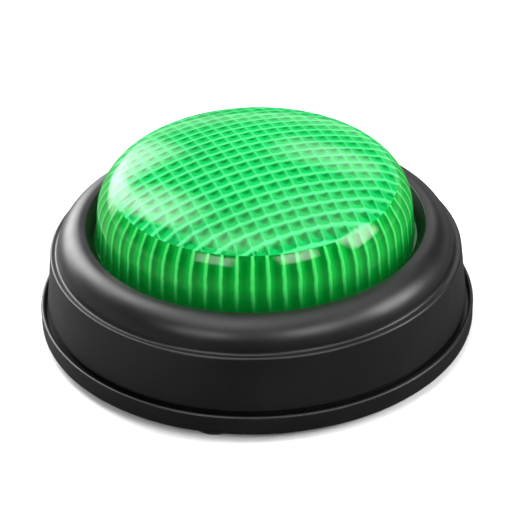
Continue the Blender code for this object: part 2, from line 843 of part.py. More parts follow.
def build_board_parts(black, tan, blue):
    """The sound chip's blob, two resistors lying along Y, and a capacitor under the board."""
    blob = arc((0, 0), (CHIP_RADIUS, CHIP_HEIGHT), math.pi / 2, 0, 4)
    turned("sound_chip", [*blob, (0, 0)], black, SMALL_STEPS, at=(0, CHIP_Y, PART_FLOOR))
    for number, side in enumerate((-1, 1), 1):
        resistor = rod(
            f"resistor_{number}",
            RESISTOR_RADIUS,
            -RESISTOR_LENGTH / 2,
            RESISTOR_LENGTH / 2,
            tan,
            steps=TINY_STEPS,
        )
        resistor.location = (side * RESISTOR_X, RESISTOR_Y, PART_FLOOR + RESISTOR_RADIUS)
        resistor.rotation_euler.x = math.pi / 2
    top = BOARD_BOTTOM - GAP
    rod(
        "capacitor",
        CAPACITOR_RADIUS,
        top - CAPACITOR_HEIGHT,
        top,
        blue,
        steps=TINY_STEPS,
        at=(CAPACITOR_X, CAPACITOR_Y),
    )


# --- speaker ------------------------------------------------------------------------------------


def build_speaker(steel, iron, film, cone_axis):
    basket = [
        (SPEAKER_RADIUS, SPEAKER_TOP),
        (SPEAKER_RADIUS, SPEAKER_BOTTOM),
        (SPEAKER_RADIUS - SPEAKER_RIM, SPEAKER_BOTTOM),
        (SPEAKER_RADIUS - SPEAKER_RIM, SPEAKER_TOP - SPEAKER_PLATE),
        (MAGNET_RADIUS + GAP, SPEAKER_TOP - SPEAKER_PLATE),
        (MAGNET_RADIUS + GAP, SPEAKER_TOP),
    ]
    at = (0, SPEAKER_Y, 0)
    turned("speaker_basket", basket, steel, SMALL_STEPS, at=at)
    rod("speaker_magnet", MAGNET_RADIUS, MAGNET_BOTTOM, MAGNET_TOP, iron, at=(0, SPEAKER_Y))
    edge = SPEAKER_RADIUS - SPEAKER_RIM - GAP
    dome = MAGNET_RADIUS / 2
    cone = [
        (0, CONE_RIM_Z + CONE_DOME_RISE),
        (dome, CONE_RIM_Z + CONE_DOME_RISE),
        (edge, CONE_RIM_Z),
        (edge, CONE_RIM_Z - CONE_THICK),
        (dome, CONE_RIM_Z + CONE_DOME_RISE - CONE_THICK),
        (0, CONE_RIM_Z + CONE_DOME_RISE - CONE_THICK),
    ]
    # The film's own origin is on the speaker's axis, so its heights are taken from the empty's.
    turned("speaker_cone", [(r, z - CONE_RIM_Z) for r, z in cone], film, SMALL_STEPS, parent=cone_axis)


def build_retainer(black):
    """A ring with two ears that clamps the speaker into its seat."""
    inner = MAGNET_RADIUS + RETAINER_INSET
    outer = SPEAKER_RADIUS + SEAT_WALL
    ring = [
        (outer, RETAINER_TOP),
        (outer, RETAINER_BOTTOM),
        (inner, RETAINER_BOTTOM),
        (inner, RETAINER_TOP),
    ]
    retainer = turned("speaker_retainer", ring, black, SMALL_STEPS, at=(0, SPEAKER_Y, 0))
    for side in (-1, 1):
        place = (side * RETAINER_EAR_X, SPEAKER_Y)
        ends = sorted((side * (outer - RETAINER_LAP), side * RETAINER_EAR_X))
        arm = box(
            f"retainer_arm_{side}",
            (ends[0], SPEAKER_Y - STAND_RADIUS + GAP, RETAINER_BOTTOM),
            (ends[1], SPEAKER_Y + STAND_RADIUS - GAP, RETAINER_TOP),
        )
        join(retainer, arm)
        ear = rod(f"retainer_ear_{side}", STAND_RADIUS, RETAINER_BOTTOM, RETAINER_TOP, at=place)
        join(retainer, ear)
    for side in (-1, 1):
        hole = rod(
            f"retainer_hole_{side}",
            SCREW_RADIUS + GAP,
            RETAINER_BOTTOM - GAP,
            RETAINER_TOP + GAP,
            steps=TINY_STEPS,
            at=(side * RETAINER_EAR_X, SPEAKER_Y),
        )
        cut(retainer, hole)


# --- battery bay --------------------------------------------------------------------------------


def build_cells(jacket):
    """Two cells that lie along X, facing opposite ways."""
    body = [
        (0, CELL_NUB_LENGTH),
        (CELL_NUB_RADIUS, CELL_NUB_LENGTH),
        (CELL_NUB_RADIUS, 0),
        (CELL_RADIUS, 0),
        (CELL_RADIUS, -CELL_LENGTH),
        (0, -CELL_LENGTH),
    ]
    for number, side in enumerate((1, -1), 1):
        x = side * (CELL_NUB_X - CELL_NUB_LENGTH - GAP)
        place = (x, BAY_Y + side * CELL_PITCH / 2, CELL_Z)
        cell = turned(f"battery_{number}", body, jacket, SMALL_STEPS, at=place)
        cell.rotation_euler.y = side * math.pi / 2


def contact(name, side, low_y, high_y, metal):
    """A contact plate at one end of the bay; side is +1 for the right end."""
    near, far = sorted((side * CONTACT_X, side * (CONTACT_X + CONTACT_THICK)))
    return box(name, (near, low_y, CONTACT_LOW), (far, high_y, CONTACT_HIGH), metal)


def build_contacts(metal):
    half = CONTACT_HALF_WIDTH
    for name, side in (("contact_positive", 1), ("contact_negative", -1)):
        y = BAY_Y + side * CELL_PITCH / 2
        plate = contact(name, 1, y - half, y + half, metal)
        tab = box(
            f"{name}_tab",
            (CONTACT_X + CONTACT_THICK / 2, y - TAB_HALF_WIDTH, TAB_Z - CONTACT_THICK),
            (TAB_END_X, y + TAB_HALF_WIDTH, TAB_Z + CONTACT_THICK),
        )
        join(plate, tab)
    reach = CELL_PITCH / 2 + half
    contact("contact_bridge", -1, BAY_Y - reach, BAY_Y + reach, metal)


def build_battery_springs(steel):
    """A cone of wire from a contact plate to the flat end of each cell."""
    cell_end = CELL_NUB_X - CELL_NUB_LENGTH - GAP - CELL_LENGTH
    start = CONTACT_X - GAP - BATTERY_SPRING_WIRE
    end = -cell_end + GAP + BATTERY_SPRING_WIRE
    steps = BATTERY_SPRING_TURNS * TINY_STEPS
    for number, side in enumerate((1, -1), 1):
        points = []
        for step in range(steps + 1):
            share = step / steps
            radius = BATTERY_SPRING_LARGE + (BATTERY_SPRING_SMALL - BATTERY_SPRING_LARGE) * share
            angle = BATTERY_SPRING_TURNS * math.tau * share
            y = BAY_Y + side * CELL_PITCH / 2 + radius * math.cos(angle)
            x = -side * (start + (end - start) * share)
            points.append((x, y, CELL_Z + radius * math.sin(angle)))
        wire(f"battery_spring_{number}", points, BATTERY_SPRING_WIRE, steel)


def build_door(black, hinge):
    """The door with two hooks on its front edge and a screw ear on its rear edge."""
    origin = hinge.location
    door = box(
        "battery_door",
        Vector((-DOOR_LENGTH / 2, DOOR_FRONT, FOOT_STAND)) - origin,
        Vector((DOOR_LENGTH / 2, DOOR_REAR, DOOR_TOP)) - origin,
        black,
        parent=hinge,
    )
    ear = rod("door_ear", EAR_RADIUS, FOOT_STAND, DOOR_TOP, at=(0, EAR_Y))
    join(door, ear)
    hook_top = FLOOR_TOP + GAP + HOOK_THICK
    for side in (-1, 1):
        low_x = side * HOOK_X - HOOK_WIDTH / 2
        high_x = side * HOOK_X + HOOK_WIDTH / 2
        riser = box(
            f"hook_riser_{side}",
            (low_x, DOOR_FRONT + GAP, DOOR_TOP - GAP),
            (high_x, DOOR_FRONT + GAP + HOOK_THICK, hook_top),
        )
        join(door, riser)
        finger = box(
            f"hook_finger_{side}",
            (low_x, DOOR_FRONT - HOOK_REACH + HOOK_THICK, FLOOR_TOP + GAP),
            (high_x, DOOR_FRONT + HOOK_THICK, hook_top),
        )
        join(door, finger)
    low = FOOT_STAND - GAP
    cut(door, rod("ear_hole", SCREW_RADIUS + GAP, low, DOOR_TOP + GAP, at=(0, EAR_Y)))
    well_top = FOOT_STAND + EAR_WELL_DEPTH
    cut(door, rod("ear_well", SCREW_HEAD_RADIUS + GAP, low, well_top, at=(0, EAR_Y)))


# --- screws and wires ---------------------------------------------------------------------------


def build_screw(name, at, seat, length, head_height, steel, points_up, parent=None):
    """A flat-topped screw with a cross recess, whose head bears on seat."""
    outline = [
        (0, head_height),
        (SCREW_HEAD_RADIUS * SCREW_TOP_SHARE, head_height),
        (SCREW_HEAD_RADIUS, head_height / 2),
        (SCREW_HEAD_RADIUS, 0),
        (SCREW_RADIUS, 0),
        (SCREW_RADIUS, -length),
        (0, -length - SCREW_RADIUS),
    ]
    origin = parent.location if parent else Vector((0, 0, 0))
    gap = -GAP if points_up else GAP
    place = Vector((*at, seat + gap))
    screw = turned(name, outline, steel, TINY_STEPS, at=place - origin, parent=parent)
    turn = math.pi if points_up else 0
    screw.rotation_euler.x = turn
    half_length = SCREW_HEAD_RADIUS * RECESS_LENGTH_SHARE
    half_width = SCREW_HEAD_RADIUS * RECESS_WIDTH_SHARE
    for number, (x, y) in enumerate(((half_length, half_width), (half_width, half_length)), 1):
        depth = head_height * RECESS_DEPTH_SHARE
        recess = box(f"{name}_recess_{number}", (-x, -y, -depth), (x, y, depth))
        head = head_height if not points_up else -head_height
        recess.location = place + Vector((0, 0, head))
        cut(screw, recess)


def build_screws(steel, hinge):
    for number, (x, y, _) in enumerate(around(PILLAR_ORBIT, PILLAR_FIRST_ANGLE), 1):
        build_screw(
            f"housing_screw_{number}",
            (x, y),
            SCREW_SEAT,
            HOUSING_SCREW_LENGTH,
            SCREW_HEAD_HEIGHT,
            steel,
            True,
        )
    for number, side in enumerate((-1, 1), 1):
        build_screw(
            f"board_screw_{number}",
            (side * STAND_X, STAND_Y),
            BOARD_TOP,
            BOARD_SCREW_LENGTH,
            SCREW_HEAD_HEIGHT,
            steel,
            False,
        )
        build_screw(
            f"retainer_screw_{number}",
            (side * RETAINER_EAR_X, SPEAKER_Y),
            RETAINER_TOP,
            RETAINER_SCREW_LENGTH,
            SCREW_HEAD_HEIGHT,
            steel,
            False,
        )
    build_screw(
        "battery_door_screw",
        (0, EAR_Y),
        FOOT_STAND + EAR_WELL_DEPTH,
        DOOR_SCREW_LENGTH,
        DOOR_SCREW_HEAD,
        steel,
        True,
        parent=hinge,
    )


def battery_lead_paths():
    """The red lead from the rear tab, and the black one that passes it from the front tab."""
    board = BOARD_BOTTOM - GAP
    front_y = BAY_Y - CELL_PITCH / 2
    rear_y = BAY_Y + CELL_PITCH / 2
    red_path = [
        (LEAD_X, rear_y, TAB_Z),
        (LEAD_X + MM, rear_y + 5 * MM, TAB_Z + MM),
        (RED_LEAD_X + 5 * MM, RED_LEAD_Y, TAB_Z + 2 * MM),
        (RED_LEAD_X, RED_LEAD_Y, TAB_Z + 2.5 * MM),
        (RED_LEAD_X, RED_LEAD_Y, board),
    ]
    black_path = [
        (LEAD_X, front_y, TAB_Z),
        (LEAD_X + 3 * MM, front_y + 4 * MM, TAB_Z),
        (LEAD_X + 3 * MM, rear_y + 6 * MM, TAB_Z),
        (RED_LEAD_X + 6 * MM, BLACK_LEAD_Y, TAB_Z + MM),
        (BLACK_LEAD_X, BLACK_LEAD_Y, TAB_Z + 2 * MM),
        (BLACK_LEAD_X, BLACK_LEAD_Y, board),
    ]
    return red_path, black_path


def build_leads(red, black):
    """Battery leads from the tabs, and speaker leads from the basket, to the board's underside."""
    red_path, black_path = battery_lead_paths()
    wire("battery_wire_red", rounded_path(red_path, LEAD_BEND), LEAD_RADIUS, red)
    wire("battery_wire_black", rounded_path(black_path, LEAD_BEND), LEAD_RADIUS, black)
    start_y = SPEAKER_Y - SPEAKER_RADIUS + SPEAKER_LEAD_REACH
    start_z = RETAINER_TOP + LEAD_GAP
    for number, colour in enumerate((red, black), 1):
        x = SPEAKER_LEAD_X * number
        path = [
            (x, start_y, start_z),
            (x, start_y - SPEAKER_LEAD_REACH, start_z + MM),
            (x, start_y - 2 * MM, BOARD_BOTTOM - GAP),
        ]
        wire(f"speaker_wire_{number}", rounded_path(path, LEAD_BEND), LEAD_RADIUS, colour)


# --- assembly -----------------------------------------------------------------------------------


def main():
    shell = principled("black_shell", BLACK, 0.35)
    lens = principled("green_lens", (0.0, 0.42, 0.12), 0.05, see_through=0.9)
    rubber = principled("rubber", (0.02, 0.02, 0.02), 0.85)
    white = principled("white_carrier", (0.85, 0.85, 0.83), 0.45)
    card = principled("reflector_card", (0.92, 0.92, 0.92), 0.3)
    board = principled("board_green", (0.02, 0.16, 0.06), 0.4)
    steel = principled("spring_steel", (0.6, 0.6, 0.6), 0.3, metallic=1.0)
    zinc = principled("zinc_screw", (0.7, 0.7, 0.68), 0.35, metallic=1.0)
    iron = principled("magnet_iron", (0.25, 0.25, 0.26), 0.4, metallic=1.0)
    film = principled("cone_film", (0.75, 0.72, 0.6), 0.5)
    clear = principled("clear_led", (0.9, 0.95, 0.9), 0.1, see_through=0.6)
    black_part = principled("black_part", BLACK, 0.5)
    red_lead = principled("red_lead", (0.6, 0.02, 0.02), 0.45)
    tan = principled("resistor_tan", (0.6, 0.45, 0.28), 0.5)
    blue = principled("capacitor_blue", (0.03, 0.08, 0.3), 0.35)
    jacket = principled("cell_jacket", (0.08, 0.2, 0.12), 0.35)

    button = axis_empty("button_axis", (0, 0, 0))
    plunger_axis = axis_empty("plunger_axis", (0, 0, 0))
    cone_axis = axis_empty("cone_axis", (0, SPEAKER_Y, CONE_RIM_Z))
    hinge = axis_empty("door_hinge_axis", (0, HINGE_Y, DOOR_TOP))

    build_base(shell)
    build_feet(rubber)
    build_housing(shell)
    build_lens(lens, button)
    build_carrier(white, card, button)
    build_return_spring(steel, button)
    build_board(board)
    build_switch(black_part, red_lead, plunger_axis)
    build_leds(clear)
    build_board_parts(black_part, tan, blue)
    build_speaker(steel, iron, film, cone_axis)
    build_retainer(black_part)
    build_cells(jacket)
    build_contacts(steel)
    build_battery_springs(steel)
    build_door(shell, hinge)
    build_screws(zinc, hinge)
    build_leads(red_lead, black_part)


clear_scene()
PARTS = new_collection("quiz_buzzer")
CUTTERS = new_collection("cutters")
main()
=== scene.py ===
"""Quiz buzzer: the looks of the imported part, with fine shapes where the part's own facets would show."""

import json
import math
from collections import Counter

import bmesh
import bpy
import numpy as np
from mathutils import Matrix, Vector


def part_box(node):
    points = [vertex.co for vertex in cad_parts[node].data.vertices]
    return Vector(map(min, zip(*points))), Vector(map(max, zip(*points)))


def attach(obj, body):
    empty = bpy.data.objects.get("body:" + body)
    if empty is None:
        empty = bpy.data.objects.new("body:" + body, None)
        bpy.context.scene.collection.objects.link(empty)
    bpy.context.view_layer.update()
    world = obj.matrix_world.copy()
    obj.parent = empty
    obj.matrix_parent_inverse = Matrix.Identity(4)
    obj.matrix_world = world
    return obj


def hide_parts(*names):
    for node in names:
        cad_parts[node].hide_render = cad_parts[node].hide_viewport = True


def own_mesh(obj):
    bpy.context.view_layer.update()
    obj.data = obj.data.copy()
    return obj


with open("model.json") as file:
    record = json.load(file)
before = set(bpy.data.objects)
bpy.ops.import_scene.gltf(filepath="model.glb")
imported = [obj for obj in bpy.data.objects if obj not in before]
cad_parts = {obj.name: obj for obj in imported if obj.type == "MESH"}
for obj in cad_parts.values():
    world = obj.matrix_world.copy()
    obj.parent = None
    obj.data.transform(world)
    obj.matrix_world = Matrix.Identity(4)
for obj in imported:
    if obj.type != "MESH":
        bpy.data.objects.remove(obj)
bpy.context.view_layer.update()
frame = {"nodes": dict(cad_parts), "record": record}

MM = 0.001
GAP = 0.3 * MM
WELD = 0.001 * MM
ROUND_STEPS = 256
LENS_STEPS = 192
LARGE_STEPS = 96
SMALL_STEPS = 40
CREASE_ANGLE = 30

BODY_OF = {
    node: body for body, nodes in frame["record"]["behaviour"]["bodies"].items() for node in nodes
}

LENS_LOW, LENS_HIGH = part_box("lens_dome")
HOUSING_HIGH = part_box("upper_housing")[1]
BASE_LOW, BASE_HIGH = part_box("base_plate")
SPEAKER_LOW, SPEAKER_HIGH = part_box("speaker_basket")
SPRING_LOW, SPRING_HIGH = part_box("return_spring")
BOARD_LOW, BOARD_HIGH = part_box("circuit_board")

# Base plate
FLOOR = BASE_LOW.z
BASE_RADIUS = BASE_HIGH.x
RIM_TOP = FLOOR + 4.2 * MM
RIM_THICK = 0.9 * MM
BASE_EDGE = 0.7 * MM
FLOOR_TOP = FLOOR + 2.4 * MM
GROOVE_FLOOR = RIM_TOP - 1.2 * MM
SPIGOT_RADIUS = 41.1 * MM
SPIGOT_THICK = 1.9 * MM
SPIGOT_TOP = RIM_TOP + 2.3 * MM

# Housing
WALL_FOOT = RIM_TOP + 0.4 * MM
WALL_FOOT_RADIUS = HOUSING_HIGH.x
WALL_FOOT_ROUND = 0.2 * MM
WALL_THICK = 2.0 * MM
TONGUE_STEP = 0.9 * MM
LEDGE_RADIUS = 42.35 * MM
LEDGE_TOP = 17.8 * MM
LEDGE_ROUND = 0.45 * MM
RING_RADIUS = 40.9 * MM
CREASE_ROUND = 0.5 * MM
CROWN_RADIUS = 35.3 * MM
CROWN_TOP = HOUSING_HIGH.z
LIP_EDGE_RADIUS = 34.7 * MM
LIP_ROUND = 0.35 * MM
LIP_RADIUS = 33.2 * MM
LIP_FLOOR = 20.6 * MM
LIP_LAND = 0.5 * MM

# Lens
APEX = LENS_HIGH.z
DOME_RADIUS = 77.0 * MM
SHOULDER_RADIUS = 10.2 * MM
SHOULDER_CENTRE = 22.0 * MM
LENS_DRAFT = math.radians(4.4)
LENS_RIM_RADIUS = LENS_HIGH.x
LENS_RIM_CLEARANCE = 1.4 * MM
LENS_BOTTOM = LENS_LOW.z
LENS_RIM_TOP = LIP_FLOOR - GAP
DOME_CENTRE = APEX - DOME_RADIUS
SHOULDER_HEIGHT = DOME_CENTRE + math.sqrt((DOME_RADIUS - SHOULDER_RADIUS) ** 2 - SHOULDER_CENTRE**2)
SHOULDER_ANGLE = math.atan2(SHOULDER_HEIGHT - DOME_CENTRE, SHOULDER_CENTRE)

# The lens's inner side: square cells on top, flutes down the wall
GRID_PITCH = 2.8 * MM
GRID_TURN = math.radians(22.5)
GRID_RADIUS = 28.5 * MM
GRID_STEPS = 8
GRID_INSET = 1.3 * MM
PILLOW = 0.7 * MM
FLUTES = 63
FLUTE_STEPS = 8
FLUTE_DEPTH = 0.55 * MM
FLUTE_ROUND = 1.6 * MM
INNER_SHOULDER = SHOULDER_RADIUS - GRID_INSET
INNER_FIRST_ANGLE = math.acos((GRID_RADIUS - SHOULDER_CENTRE) / INNER_SHOULDER)
INNER_SHOULDER_LENGTH = (INNER_FIRST_ANGLE - LENS_DRAFT) * INNER_SHOULDER

# Battery bay and door
BAY_Y = -14.0 * MM
BAY_LENGTH = 50.0 * MM
BAY_WIDTH = 23.2 * MM
BAY_WALL = 1.2 * MM
BAY_TOP = BOARD_LOW.z - GAP
BAY_CEILING = BAY_TOP - 0.9 * MM
CELL_PITCH = 11.2 * MM
TAB_SLOT_LOW = 9.0 * MM
TAB_SLOT_HIGH = 11.0 * MM
TAB_SLOT_HALF_WIDTH = 2.0 * MM
DOOR_TOP = FLOOR + 1.7 * MM
DOOR_HALF_WIDTH = 12.3 * MM
DOOR_HALF_LENGTH = 26.0 * MM
DOOR_FRONT = BAY_Y - DOOR_HALF_WIDTH
DOOR_REAR = BAY_Y + DOOR_HALF_WIDTH
DOOR_CORNER = 0.9 * MM
DOOR_EDGE = 0.25 * MM
DOOR_SLACK = 1.02 * MM
HOOK_X = 14.0 * MM
HOOK_HALF = 2.5 * MM
HOOK_THICK = 1.0 * MM
HOOK_REACH = 2.9 * MM
GRIP_BARS = 5
GRIP_FIRST = 3.2 * MM
GRIP_PITCH = 1.5 * MM
GRIP_HALF_LENGTH = 7.0 * MM
GRIP_HALF_WIDTH = 0.35 * MM
GRIP_RISE = 0.3 * MM
EAR_RADIUS = 3.5 * MM
EAR_Y = DOOR_REAR + 2.1 * MM
EAR_WELL = FLOOR + 1.2 * MM
BOSS_RADIUS = 3.2 * MM
BOSS_TOP = 9.5 * MM

# Pillars, stands, feet and screws
PILLAR_ORBIT = 36.8 * MM
PILLAR_RADIUS = 4.0 * MM
PILLAR_TOP = 8.5 * MM
PILLAR_ANGLE = 32
POST_RADIUS = 3.0 * MM
POST_TOP = 13.4 * MM
WEB_HALF = 0.8 * MM
HOLE_RADIUS = 1.6 * MM
WELL_RADIUS = 2.9 * MM
SCREW_SEAT = 5.2 * MM
SCREW_RADIUS = 1.3 * MM
HEAD_RADIUS = 2.6 * MM
SCREW_SIZES = {  # the head's height and the shank's length
    "housing_screw": (1.6 * MM, 6.4 * MM),
    "board_screw": (1.6 * MM, 5.0 * MM),
    "retainer_screw": (1.6 * MM, 1.8 * MM),
    "battery_door_screw": (0.8 * MM, 4.2 * MM),
}
HEAD_CROWN = (0.7 * MM, 0.6)  # across in metres, and up as a share of the head
THREAD_PITCH = 0.9 * MM
THREAD_DEPTH = 0.25 * MM
RECESS_LENGTH = 0.62 * HEAD_RADIUS
RECESS_WIDTH = 0.17 * HEAD_RADIUS
RECESS_DEPTH = 0.7  # of the head's height
RECESS_TAPER = 0.6
STAND_X = 20.5 * MM
STAND_Y = 12.0 * MM
STAND_RADIUS = 2.6 * MM
LOCATOR_Y = -22.0 * MM
LOCATOR_RADIUS = 0.9 * MM
FOOT_ORBIT = 38.8 * MM
FOOT_RADIUS = 4.5 * MM
FOOT_TOP = FLOOR + 0.5 * MM
FOOT_ANGLE = 77
FOOT_EDGE = 0.45 * MM
FOOT_RINGS = (2.8 * MM, 1.4 * MM)
FOOT_RING_HALF = 0.35 * MM
FOOT_RING_DEPTH = 0.18 * MM

# Springs
RETURN_WIRE = 0.4 * MM
RETURN_COIL = 6.9 * MM
RETURN_TURNS = 7
CELL_WIRE = 0.3 * MM
CELL_COIL = (3.9 * MM, 2.5 * MM)
CELL_TURNS = 4
COIL_STEPS = 36
CLOSED_TURNS = 0.8
CLOSED_PITCH = 2.2  # wire radii a turn

# Speaker and what stands on the board
SPEAKER_Y = (SPEAKER_LOW.y + SPEAKER_HIGH.y) / 2
SPEAKER_RADIUS = SPEAKER_HIGH.x
SPEAKER_BOTTOM = SPEAKER_LOW.z
SPEAKER_TOP = SPEAKER_HIGH.z
SPEAKER_RIM = 1.4 * MM
SPEAKER_SHELF = 0.8 * MM
SPEAKER_EDGE = 0.3 * MM
SEAT_WALL = 1.2 * MM
MAGNET_RADIUS = 7.0 * MM
CONE_STEPS = 60
CONE_DOME = 0.28  # the dome's radius, as a share of the cone's
CONE_DOME_RISE = 0.12 * MM
CONE_FALL = 0.25 * MM
CONE_THICK = 0.25 * MM
CONE_RIPPLE = 0.05 * MM
CONE_RIPPLE_TURN = 3.2  # radians a millimetre
RETAINER_EAR_X = 18.6 * MM
GRILLE_SLOTS = 7
GRILLE_PITCH = 3.0 * MM
GRILLE_HALF = 0.65 * MM
GRILLE_RADIUS = 10.8 * MM
LED_RADIUS = 2.5 * MM
LED_FLANGE = 0.4 * MM
LED_FLANGE_HEIGHT = 1.0 * MM


# --- outlines -----------------------------------------------------------------------------------


def arc(centre, radii, start, end, steps):
    """Points along an ellipse's arc, both ends included. Angles are in degrees."""
    turn = np.radians(np.linspace(start, end, steps + 1))
    return [(centre[0] + radii[0] * math.cos(a), centre[1] + radii[1] * math.sin(a)) for a in turn]


def round_top(radius, height, edge, steps=5):
    """A quarter turn from a flat top at height to a side at radius."""
    return arc((radius - edge, height - edge), (edge, edge), 90, 0, steps)


def round_foot(radius, height, edge, steps=5):
    """A quarter turn from a side at radius to a flat underside at height."""
    return arc((radius - edge, height + edge), (edge, edge), 0, -90, steps)


def cap(radius, height, steps):
    """A quarter of an ellipse from a point on the axis to a side at radius, at height 0."""
    return [(0, height), *arc((0, 0), (radius, height), 90, 0, steps)[1:]]


def around(orbit, first):
    """The four points a quarter turn apart on a circle, with their angles in degrees."""
    angles = [first + 90 * turn for turn in range(4)]
    return [(orbit * math.cos(math.radians(a)), orbit * math.sin(math.radians(a)), a) for a in angles]


def turn_of(point):
    """The angle round the Z axis at which a point lies, in radians."""
    return math.atan2(point[1], point[0])


# --- meshes -------------------------------------------------------------------------------------


def smooth(mesh, sharp):
    """Smooth shading, with edges kept sharp where they turn more than sharp degrees."""
    mesh.shade_smooth()
    mesh.set_sharp_from_angle(angle=math.radians(sharp))


def linked(name, data):
    obj = bpy.data.objects.new(name, data)
    bpy.context.scene.collection.objects.link(obj)
    return obj


def add_mesh(name, vertices, faces, materials=(), slots=None, sharp=CREASE_ANGLE):
    mesh = bpy.data.meshes.new(name)
    mesh.from_pydata([tuple(v) for v in vertices], [], [tuple(f) for f in faces])
    for material in materials:
        mesh.materials.append(material)
    if slots is not None:
        mesh.polygons.foreach_set("material_index", slots)
    mesh.validate()
    smooth(mesh, sharp)
    return linked(name, mesh)


def lathe(outline, steps):
    """Vertices and faces turned from (radius, height) points; an end on the axis closes there."""
    turns = [math.tau * step / steps for step in range(steps)]
    vertices, rings, faces = [], [], []
    for radius, height in outline:
        first = len(vertices)
        if radius < 1e-9:
            rings.append([first] * steps)
            vertices.append((0, 0, height))
        else:
            rings.append(range(first, first + steps))
            vertices += [(radius * math.cos(turn), radius * math.sin(turn), height) for turn in turns]
    pairs = list(zip(rings, rings[1:]))
    if outline[0][0] >= 1e-9:
        pairs.append((rings[-1], rings[0]))
    for upper, lower in pairs:
        for step in range(steps):
            after = (step + 1) % steps
            corners = [upper[step], lower[step], lower[after], upper[after]]
            face = list(dict.fromkeys(corners))
            if len(face) > 2:
                faces.append(face)
    return vertices, faces


def turned(name, outline, material, steps, at=(0, 0, 0), sharp=CREASE_ANGLE):
    obj = add_mesh(name, *lathe(outline, steps), [material], sharp=sharp)
    obj.location = at
    return obj


def ring(name, outline, steps, at):
    """Turned about an upright axis through at, with the offset in the mesh itself."""
    vertices, faces = lathe(outline, steps)
    return add_mesh(name, [(x + at[0], y + at[1], z) for x, y, z in vertices], faces)


def rod(name, radius, low, high, at=(0, 0)):
    return ring(name, [(0, high), (radius, high), (radius, low), (0, low)], SMALL_STEPS, at)


def prism(name, outline, low, high):
    count = len(outline)
    vertices = [(x, y, z) for z in (low, high) for x, y in outline]
    faces = [list(range(count))[::-1], list(range(count, 2 * count))]
    for step in range(count):
        after = (step + 1) % count
        faces.append([step, after, count + after, count + step])
    return add_mesh(name, vertices, faces)


def box(name, low, high):
    (x0, y0, z0), (x1, y1, z1) = low, high
    return prism(name, [(x0, y0), (x1, y0), (x1, y1), (x0, y1)], z0, z1)


def closed(mesh, merge=True):
    """Joins vertices that coincide, unless merge is off, and turns every face outwards."""
    shape = bmesh.new()
    shape.from_mesh(mesh)
    if merge:
        bmesh.ops.remove_doubles(shape, verts=shape.verts, dist=WELD)
    bmesh.ops.recalc_face_normals(shape, faces=shape.faces)
    shape.to_mesh(mesh)
    shape.free()


def baked(obj):
    """The object as a welded mesh, with its modifiers or its curve worked out."""
    shown = obj.evaluated_get(bpy.context.evaluated_depsgraph_get())
    made = linked(obj.name + "_fine", bpy.data.meshes.new_from_object(shown))
    made.matrix_world = obj.matrix_world
    bpy.data.objects.remove(obj)
    closed(made.data)
    return made


def boolean(body, operation, pieces):
    """The body gets a modifier that joins the pieces to it or cuts them away."""
    group = bpy.data.collections.new(body.name + operation)
    bpy.context.scene.collection.children.link(group)
    for piece in pieces:
        group.objects.link(piece)
    change = body.modifiers.new(operation, "BOOLEAN")
    change.operation = operation
    change.operand_type = "COLLECTION"
    change.collection = group
    change.solver = "EXACT"


def shaped(body, added=(), removed=()):
    """The body with the added pieces joined to it, and then the removed ones cut away."""
    if added:
        boolean(body, "UNION", added)
    boolean(body, "DIFFERENCE", removed)
    made = baked(body)
    smooth(made.data, CREASE_ANGLE)
    for tool in (*added, *removed):
        bpy.data.objects.remove(tool)
    even = made.modifiers.new("Flat faces stay flat", "WEIGHTED_NORMAL")
    even.keep_sharp = True
    even.weight = 100
    return made


def curve_through(name, points, dimensions):
    curve = bpy.data.curves.new(name, "CURVE")
    curve.dimensions = dimensions
    spline = curve.splines.new("POLY")
    spline.points.add(len(points) - 1)
    for point, place in zip(spline.points, points):
        point.co = (*place, 1)
    return curve, spline


def curve_mesh(curve, material):
    made = baked(linked(curve.name, curve))
    made.data.materials.clear()
    made.data.materials.append(material)
    return made


def wire(name, points, radius, material):
    """A round wire through the points, as a mesh."""
    curve, spline = curve_through(name, points, "3D")
    curve.bevel_depth = radius
    curve.bevel_resolution = 4
    curve.use_fill_caps = True
    spline.use_smooth = True
    return curve_mesh(curve, material)


def plate(name, outline, low, high, edge, material):
    """A flat plate cut to a closed outline, with its edges rounded."""
    curve, spline = curve_through(name, [(x, y, 0) for x, y in outline], "2D")
    curve.fill_mode = "BOTH"
    curve.extrude = (high - low) / 2 - edge
    curve.bevel_depth = edge
    curve.bevel_resolution = 3
    curve.offset = -edge
    spline.use_cyclic_u = True
    made = curve_mesh(curve, material)
    made.data.transform(Matrix.Translation((0, 0, (low + high) / 2)))
    return made


# --- standing for the CAD nodes -----------------------------------------------------------------


def stands_for(obj, node, body=None):
    """The object stands in for the CAD node, which is hidden, and moves with its body or the one named."""
    obj.name = node + "_fine"
    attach(obj, body or BODY_OF[node])
    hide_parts(node)
    return obj


def turned_part(node, outline, material, steps, at, turn=(0, 0, 0), sharp=CREASE_ANGLE):
    obj = turned(node, outline, material, steps, at, sharp)
    obj.rotation_euler = turn
    stands_for(obj, node)


def refined(node, material, edge=0.0, sharp=35):
    """The CAD node's own shape, welded and smoothed, with its edges rounded by edge."""
    shape = bmesh.new()
    shape.from_mesh(frame["nodes"][node].data)
    bmesh.ops.remove_doubles(shape, verts=shape.verts, dist=WELD)
    flat = math.radians(0.5)
    bmesh.ops.dissolve_limit(shape, angle_limit=flat, verts=shape.verts, edges=shape.edges)
    mesh = bpy.data.meshes.new(node)
    shape.to_mesh(mesh)
    shape.free()
    mesh.materials.clear()
    mesh.materials.append(material)
    smooth(mesh, sharp)
    obj = linked(node + "_fine", mesh)
    if edge:
        bevel = obj.modifiers.new("Edge", "BEVEL")
        bevel.width = edge
        bevel.segments = 2
        bevel.limit_method = "ANGLE"
        bevel.angle_limit = math.radians(40)
    return stands_for(obj, node)


# --- materials ----------------------------------------------------------------------------------


